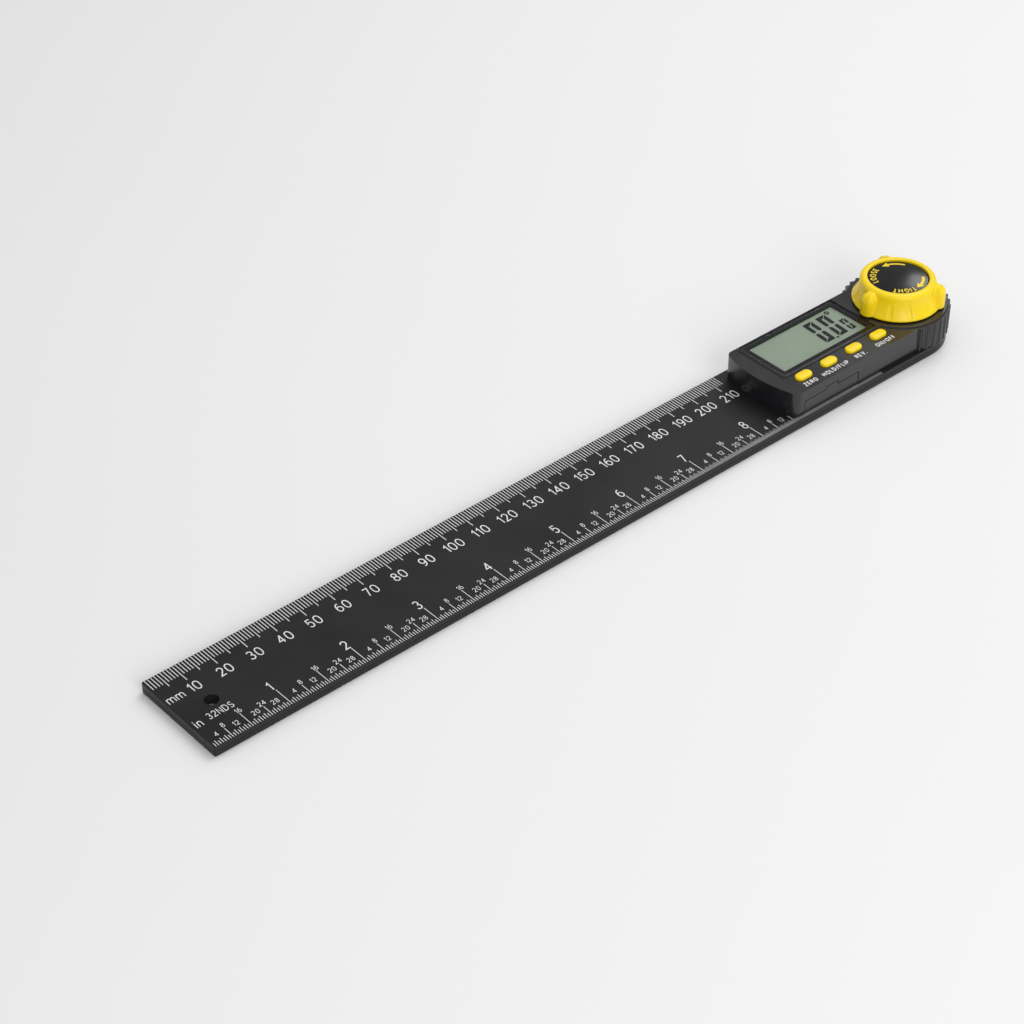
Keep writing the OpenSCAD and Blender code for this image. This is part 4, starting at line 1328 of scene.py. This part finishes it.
def digit_zero(sheet, x, y, width, height, stroke, z):
    """A nought of six display segments; x and y are its lower left corner."""
    g, w, h, t = SEGMENT_GAP, width, height, stroke
    m = h / 2
    segments = [
        [(0, h), (w - g, h), (w - t - g, h - t), (t, h - t)],
        [(w, h - g), (w - t, h - t - g), (w - t, m + t / 2 + g), (w - t / 2, m + g), (w, m + t / 2)],
        [(w, m - t / 2), (w - t / 2, m - g), (w - t, m - t / 2 - g), (w - t, t), (w, 0)],
        [(w, 0), (w - t, t), (t + g, t), (g, 0)],
        [(0, g), (t, t + g), (t, m - t / 2 - g), (t / 2, m - g), (0, m - t / 2)],
        [(0, m + t / 2), (t / 2, m + g), (t, m + t / 2 + g), (t, h - t), (0, h)],
    ]
    for outline in segments:
        ring = [(x + px + READING_LEAN * py, y + py, z) for px, py in outline]
        area = sum(a[0] * b[1] - b[0] * a[1] for a, b in zip(ring, ring[1:] + ring[:1]))
        sheet.polygon(ring if area > 0 else ring[::-1])


def round_points(x, y, radius, z):
    """Points of a circle on the display."""
    turns = [2 * math.pi * k / ROUND_STEPS for k in range(ROUND_STEPS)]
    places = [(x + radius * math.cos(a), y + radius * math.sin(a)) for a in turns]
    return [(LEFT + px * MM, NEAR + py * MM, z) for px, py in places]


def display_reading(z):
    """The noughts, the point and the degree ring at a height."""
    reading = Print()
    for x, width, height, stroke in NOUGHTS:
        corner = (LEFT + x * MM, NEAR + READING_ROW * MM)
        digit_zero(reading, *corner, width * MM, height * MM, stroke * MM, z)
    reading.polygon(round_points(*POINT, z))
    x, y, inner, outer = DEGREE
    near, far = round_points(x, y, inner, z), round_points(x, y, outer, z)
    for k in range(ROUND_STEPS):
        n = (k + 1) % ROUND_STEPS
        reading.polygon([near[k], far[k], far[n], near[n]])
    return reading.piece("display_reading", display_ink())


# Stage


FLOOR_HALF = 3.0
FLOOR_DROP = 0.3 * MM
WHITE = (1, 1, 1, 1)
# Lamps: name, place, size and the setting of their power
LAMPS = (
    ("key_lamp", (0.55, 0.05, 1.0), 0.8, "key_power"),
    ("fill_lamp", (-0.25, -0.95, 0.5), 0.6, "fill_power"),
    ("cap_lamp", (0.91, 0.475, 0.635), 0.16, "cap_power"),
)
# Where the lamps point
LAMP_AIM = Vector((0.06, 0, 0.01))


def lay_floor():
    """A wide pale floor just under the gauge."""
    material, tree, shader = blank("pale_floor")
    pale = colours().floor
    patch = span(tree, noise(tree, 3.0, 2.0), 0.3, 0.7)
    tone = mixed(tree, patch, rgba(pale), rgba(shade(pale, 0.985)))
    tree.links.new(tone, shader.inputs["Base Color"])
    shader.inputs["Roughness"].default_value = 0.75
    signs = ((-1, -1), (1, -1), (1, 1), (-1, 1))
    corners = [(x * FLOOR_HALF, y * FLOOR_HALF, -FLOOR_DROP) for x, y in signs]
    floor = piece_of("floor", corners, [(0, 1, 2, 3)], material)


def hang_lamps(s):
    """Square lamps that point at the gauge."""
    for name, place, size, power in LAMPS:
        lamp = bpy.data.lights.new(name, "AREA")
        lamp.energy = getattr(s, power)
        lamp.size = size
        obj = link(bpy.data.objects.new(name, lamp))
        obj.location = place
        obj.rotation_euler = (LAMP_AIM - Vector(place)).to_track_quat("-Z", "Y").to_euler()


def light_surrounds(scene, s):
    """Even light from all sides, with a brightness of its own in glossy faces and behind the floor."""
    world = scene.world or bpy.data.worlds.new("surrounds")
    scene.world = world
    world.use_nodes = True
    sky = world.node_tree
    sky.nodes.clear()

    def glow(strength):
        node = sky.nodes.new("ShaderNodeBackground")
        node.inputs["Color"].default_value = WHITE
        node.inputs["Strength"].default_value = strength
        return node.outputs[0]

    path = sky.nodes.new("ShaderNodeLightPath")
    last = glow(s.daylight)
    for ray, brightness in (("Is Glossy Ray", s.mirrored), ("Is Camera Ray", s.backdrop)):
        pick = sky.nodes.new("ShaderNodeMixShader")
        sky.links.new(path.outputs[ray], pick.inputs[0])
        sky.links.new(last, pick.inputs[1])
        sky.links.new(glow(brightness), pick.inputs[2])
        last = pick.outputs[0]
    sky.links.new(last, sky.nodes.new("ShaderNodeOutputWorld").inputs["Surface"])


def set_camera(scene, s):
    """The camera of the photograph."""
    camera = bpy.data.cameras.new("photo_camera")
    camera.lens = s.camera_lens
    camera.sensor_width = 36.0
    camera.sensor_fit = "HORIZONTAL"
    camera.clip_start = 0.01
    camera.clip_end = 20.0
    view = link(bpy.data.objects.new("photo_camera", camera))
    view.location = s.camera_place
    view.rotation_euler = s.camera_turn
    scene.camera = view


# Operators


class GAUGE_OT_blades(bpy.types.Operator):
    """Both blades with softened edges and a black anodised finish"""

    bl_idname = "gauge.blades"
    bl_label = "Blades"

    def execute(self, context):
        softened("upper_blade", "upper_rule", anodised(), "blade", edge=0.12 * MM)
        softened("lower_blade", "lower_rule", anodised(), "blade", edge=0.12 * MM)
        return {"FINISHED"}


class GAUGE_OT_scales(bpy.types.Operator):
    """Printed scales of both blades"""

    bl_idname = "gauge.scales"
    bl_label = "Scales"

    def execute(self, context):
        blade_print("upper_scale", BLADE_HIGH.z, "head", reach=213, inches=10)
        blade_print("lower_scale", LOWER_TOP, "lower_arm", reach=250, inches=9)
        return {"FINISHED"}


class GAUGE_OT_head(bpy.types.Operator):
    """Shell, floor and screws of the measuring head"""

    bl_idname = "gauge.head"
    bl_label = "Head"

    def execute(self, context):
        softened("housing_shell", "head_shell", moulded(), "housing", edge=0.22 * MM, segments=3)
        dress("housing_floor", moulded())
        screw_set("housing_screws", countersunk, dark_steel(), recess=(2.2 * MM, 0.5 * MM, 0.6 * MM))
        return {"FINISHED"}


class GAUGE_OT_display(bpy.types.Operator):
    """Lens, frame, face and reading of the display"""

    bl_idname = "gauge.display"
    bl_label = "Display"

    def execute(self, context):
        dress("display_lens", lens_clear())
        dress("display_frame", border_black())
        dress("display_panel", display_face())
        dress("zebra_strips", rubber())
        settle(display_reading(PANEL_TOP + context.scene.gauge_scales.lift), "head", "panel")
        return {"FINISHED"}


class GAUGE_OT_buttons(bpy.types.Operator):
    """Four buttons, the domes under them and the words beside them"""

    bl_idname = "gauge.buttons"
    bl_label = "Buttons"

    def execute(self, context):
        s = context.scene.gauge_scales
        for name in BUTTONS:
            button_piece("button_" + name, name + "_cap")
            dress("dome_" + name, steel())
        words = Print()
        row = NEAR + BUTTON_WORD_ROW * MM
        for text, x in BUTTON_WORDS:
            words.word(text, s.button_word, LEFT + x * MM, row, STRIP_TOP + s.lift, s.word_weight)
        settle(words.piece("button_words", white_print()), "head", "housing")
        return {"FINISHED"}


class GAUGE_OT_knob(bpy.types.Operator):
    """Lock knob, its nut and its cap with words and arrows"""

    bl_idname = "gauge.knob"
    bl_label = "Knob"

    def execute(self, context):
        s = context.scene.gauge_scales
        settle(knob_piece(), "knob", "yellow", "lock_knob")
        settle(cap_piece(), "knob", "cap", "knob_cap")
        words = Print()
        for text, middle, radius in CAP_WORDS:
            cap_word(words, text, s.cap_word, middle, radius * MM, s.lift)
        for start, end, width in CAP_ARROWS:
            cap_arrow(words, start, end, width * MM, s.lift)
        settle(words.piece("cap_words", yellow_print()), "knob", "cap")
        dress("knob_nut", brass())
        return {"FINISHED"}


class GAUGE_OT_battery(bpy.types.Operator):
    """Battery tray, its cell and the contacts"""

    bl_idname = "gauge.battery"
    bl_label = "Battery"

    def execute(self, context):
        softened("battery_tray", "tray_body", moulded(), "housing", edge=0.15 * MM)
        softened("coin_cell", "cell_can", steel(), "steel", edge=0.18 * MM, segments=3)
        dress("contact_top", gilt())
        dress("contact_side", gilt())
        return {"FINISHED"}


class GAUGE_OT_inner(bpy.types.Operator):
    """Boards, sensor and pivot pieces inside the gauge"""

    bl_idname = "gauge.inner"
    bl_label = "Inner pieces"

    def execute(self, context):
        for node in ("circuit_board", "sensor_stator", "sensor_rotor"):
            dress(node, circuit_green())
        dress("controller_chip", resin())
        dress("sensor_header", resin())
        dress("friction_washer", nylon())
        dress("pivot_bush", brass())
        dress("retaining_clip", dark_steel())
        dress("thrust_washer", steel())
        softened("pivot_bolt", "pivot_pin", steel(), "steel", edge=0.1 * MM)
        screw_set("board_screws", pan_head, steel(), recess=(1.3 * MM, 0.3 * MM, 0.25 * MM))
        return {"FINISHED"}


class GAUGE_OT_stage(bpy.types.Operator):
    """Floor, light and camera"""

    bl_idname = "gauge.stage"
    bl_label = "Stage"

    def execute(self, context):
        scene = context.scene
        s = scene.gauge_stage
        scene.view_settings.view_transform = "Standard"
        lay_floor()
        hang_lamps(s)
        light_surrounds(scene, s)
        set_camera(scene, s)
        return {"FINISHED"}


STEPS = ("blades", "scales", "head", "display", "buttons", "knob", "battery", "inner", "stage")


class GAUGE_PT_panel(bpy.types.Panel):
    """Steps and settings of the gauge"""

    bl_label = "Angle gauge"
    bl_idname = "GAUGE_PT_panel"
    bl_space_type = "VIEW_3D"
    bl_region_type = "UI"
    bl_category = "Gauge"

    def draw(self, context):
        column = self.layout.column()
        for step in STEPS:
            column.operator("gauge." + step)
        for group in (context.scene.gauge_scales, context.scene.gauge_colours, context.scene.gauge_stage):
            box = self.layout.box()
            for name in group.__annotations__:
                box.prop(group, name)


CLASSES = (
    GaugeScaleSettings, GaugeColourSettings, GaugeStageSettings,
    GAUGE_OT_blades, GAUGE_OT_scales, GAUGE_OT_head, GAUGE_OT_display, GAUGE_OT_buttons,
    GAUGE_OT_knob, GAUGE_OT_battery, GAUGE_OT_inner, GAUGE_OT_stage, GAUGE_PT_panel,
)


def register():
    for entry in CLASSES:
        bpy.utils.register_class(entry)
    bpy.types.Scene.gauge_scales = bpy.props.PointerProperty(type=GaugeScaleSettings)
    bpy.types.Scene.gauge_colours = bpy.props.PointerProperty(type=GaugeColourSettings)
    bpy.types.Scene.gauge_stage = bpy.props.PointerProperty(type=GaugeStageSettings)


def unregister():
    del bpy.types.Scene.gauge_stage
    del bpy.types.Scene.gauge_colours
    del bpy.types.Scene.gauge_scales
    for entry in reversed(CLASSES):
        bpy.utils.unregister_class(entry)


def main():
    register()
    for step in STEPS:
        getattr(bpy.ops.gauge, step)()


if __name__ == "__main__":
    main()
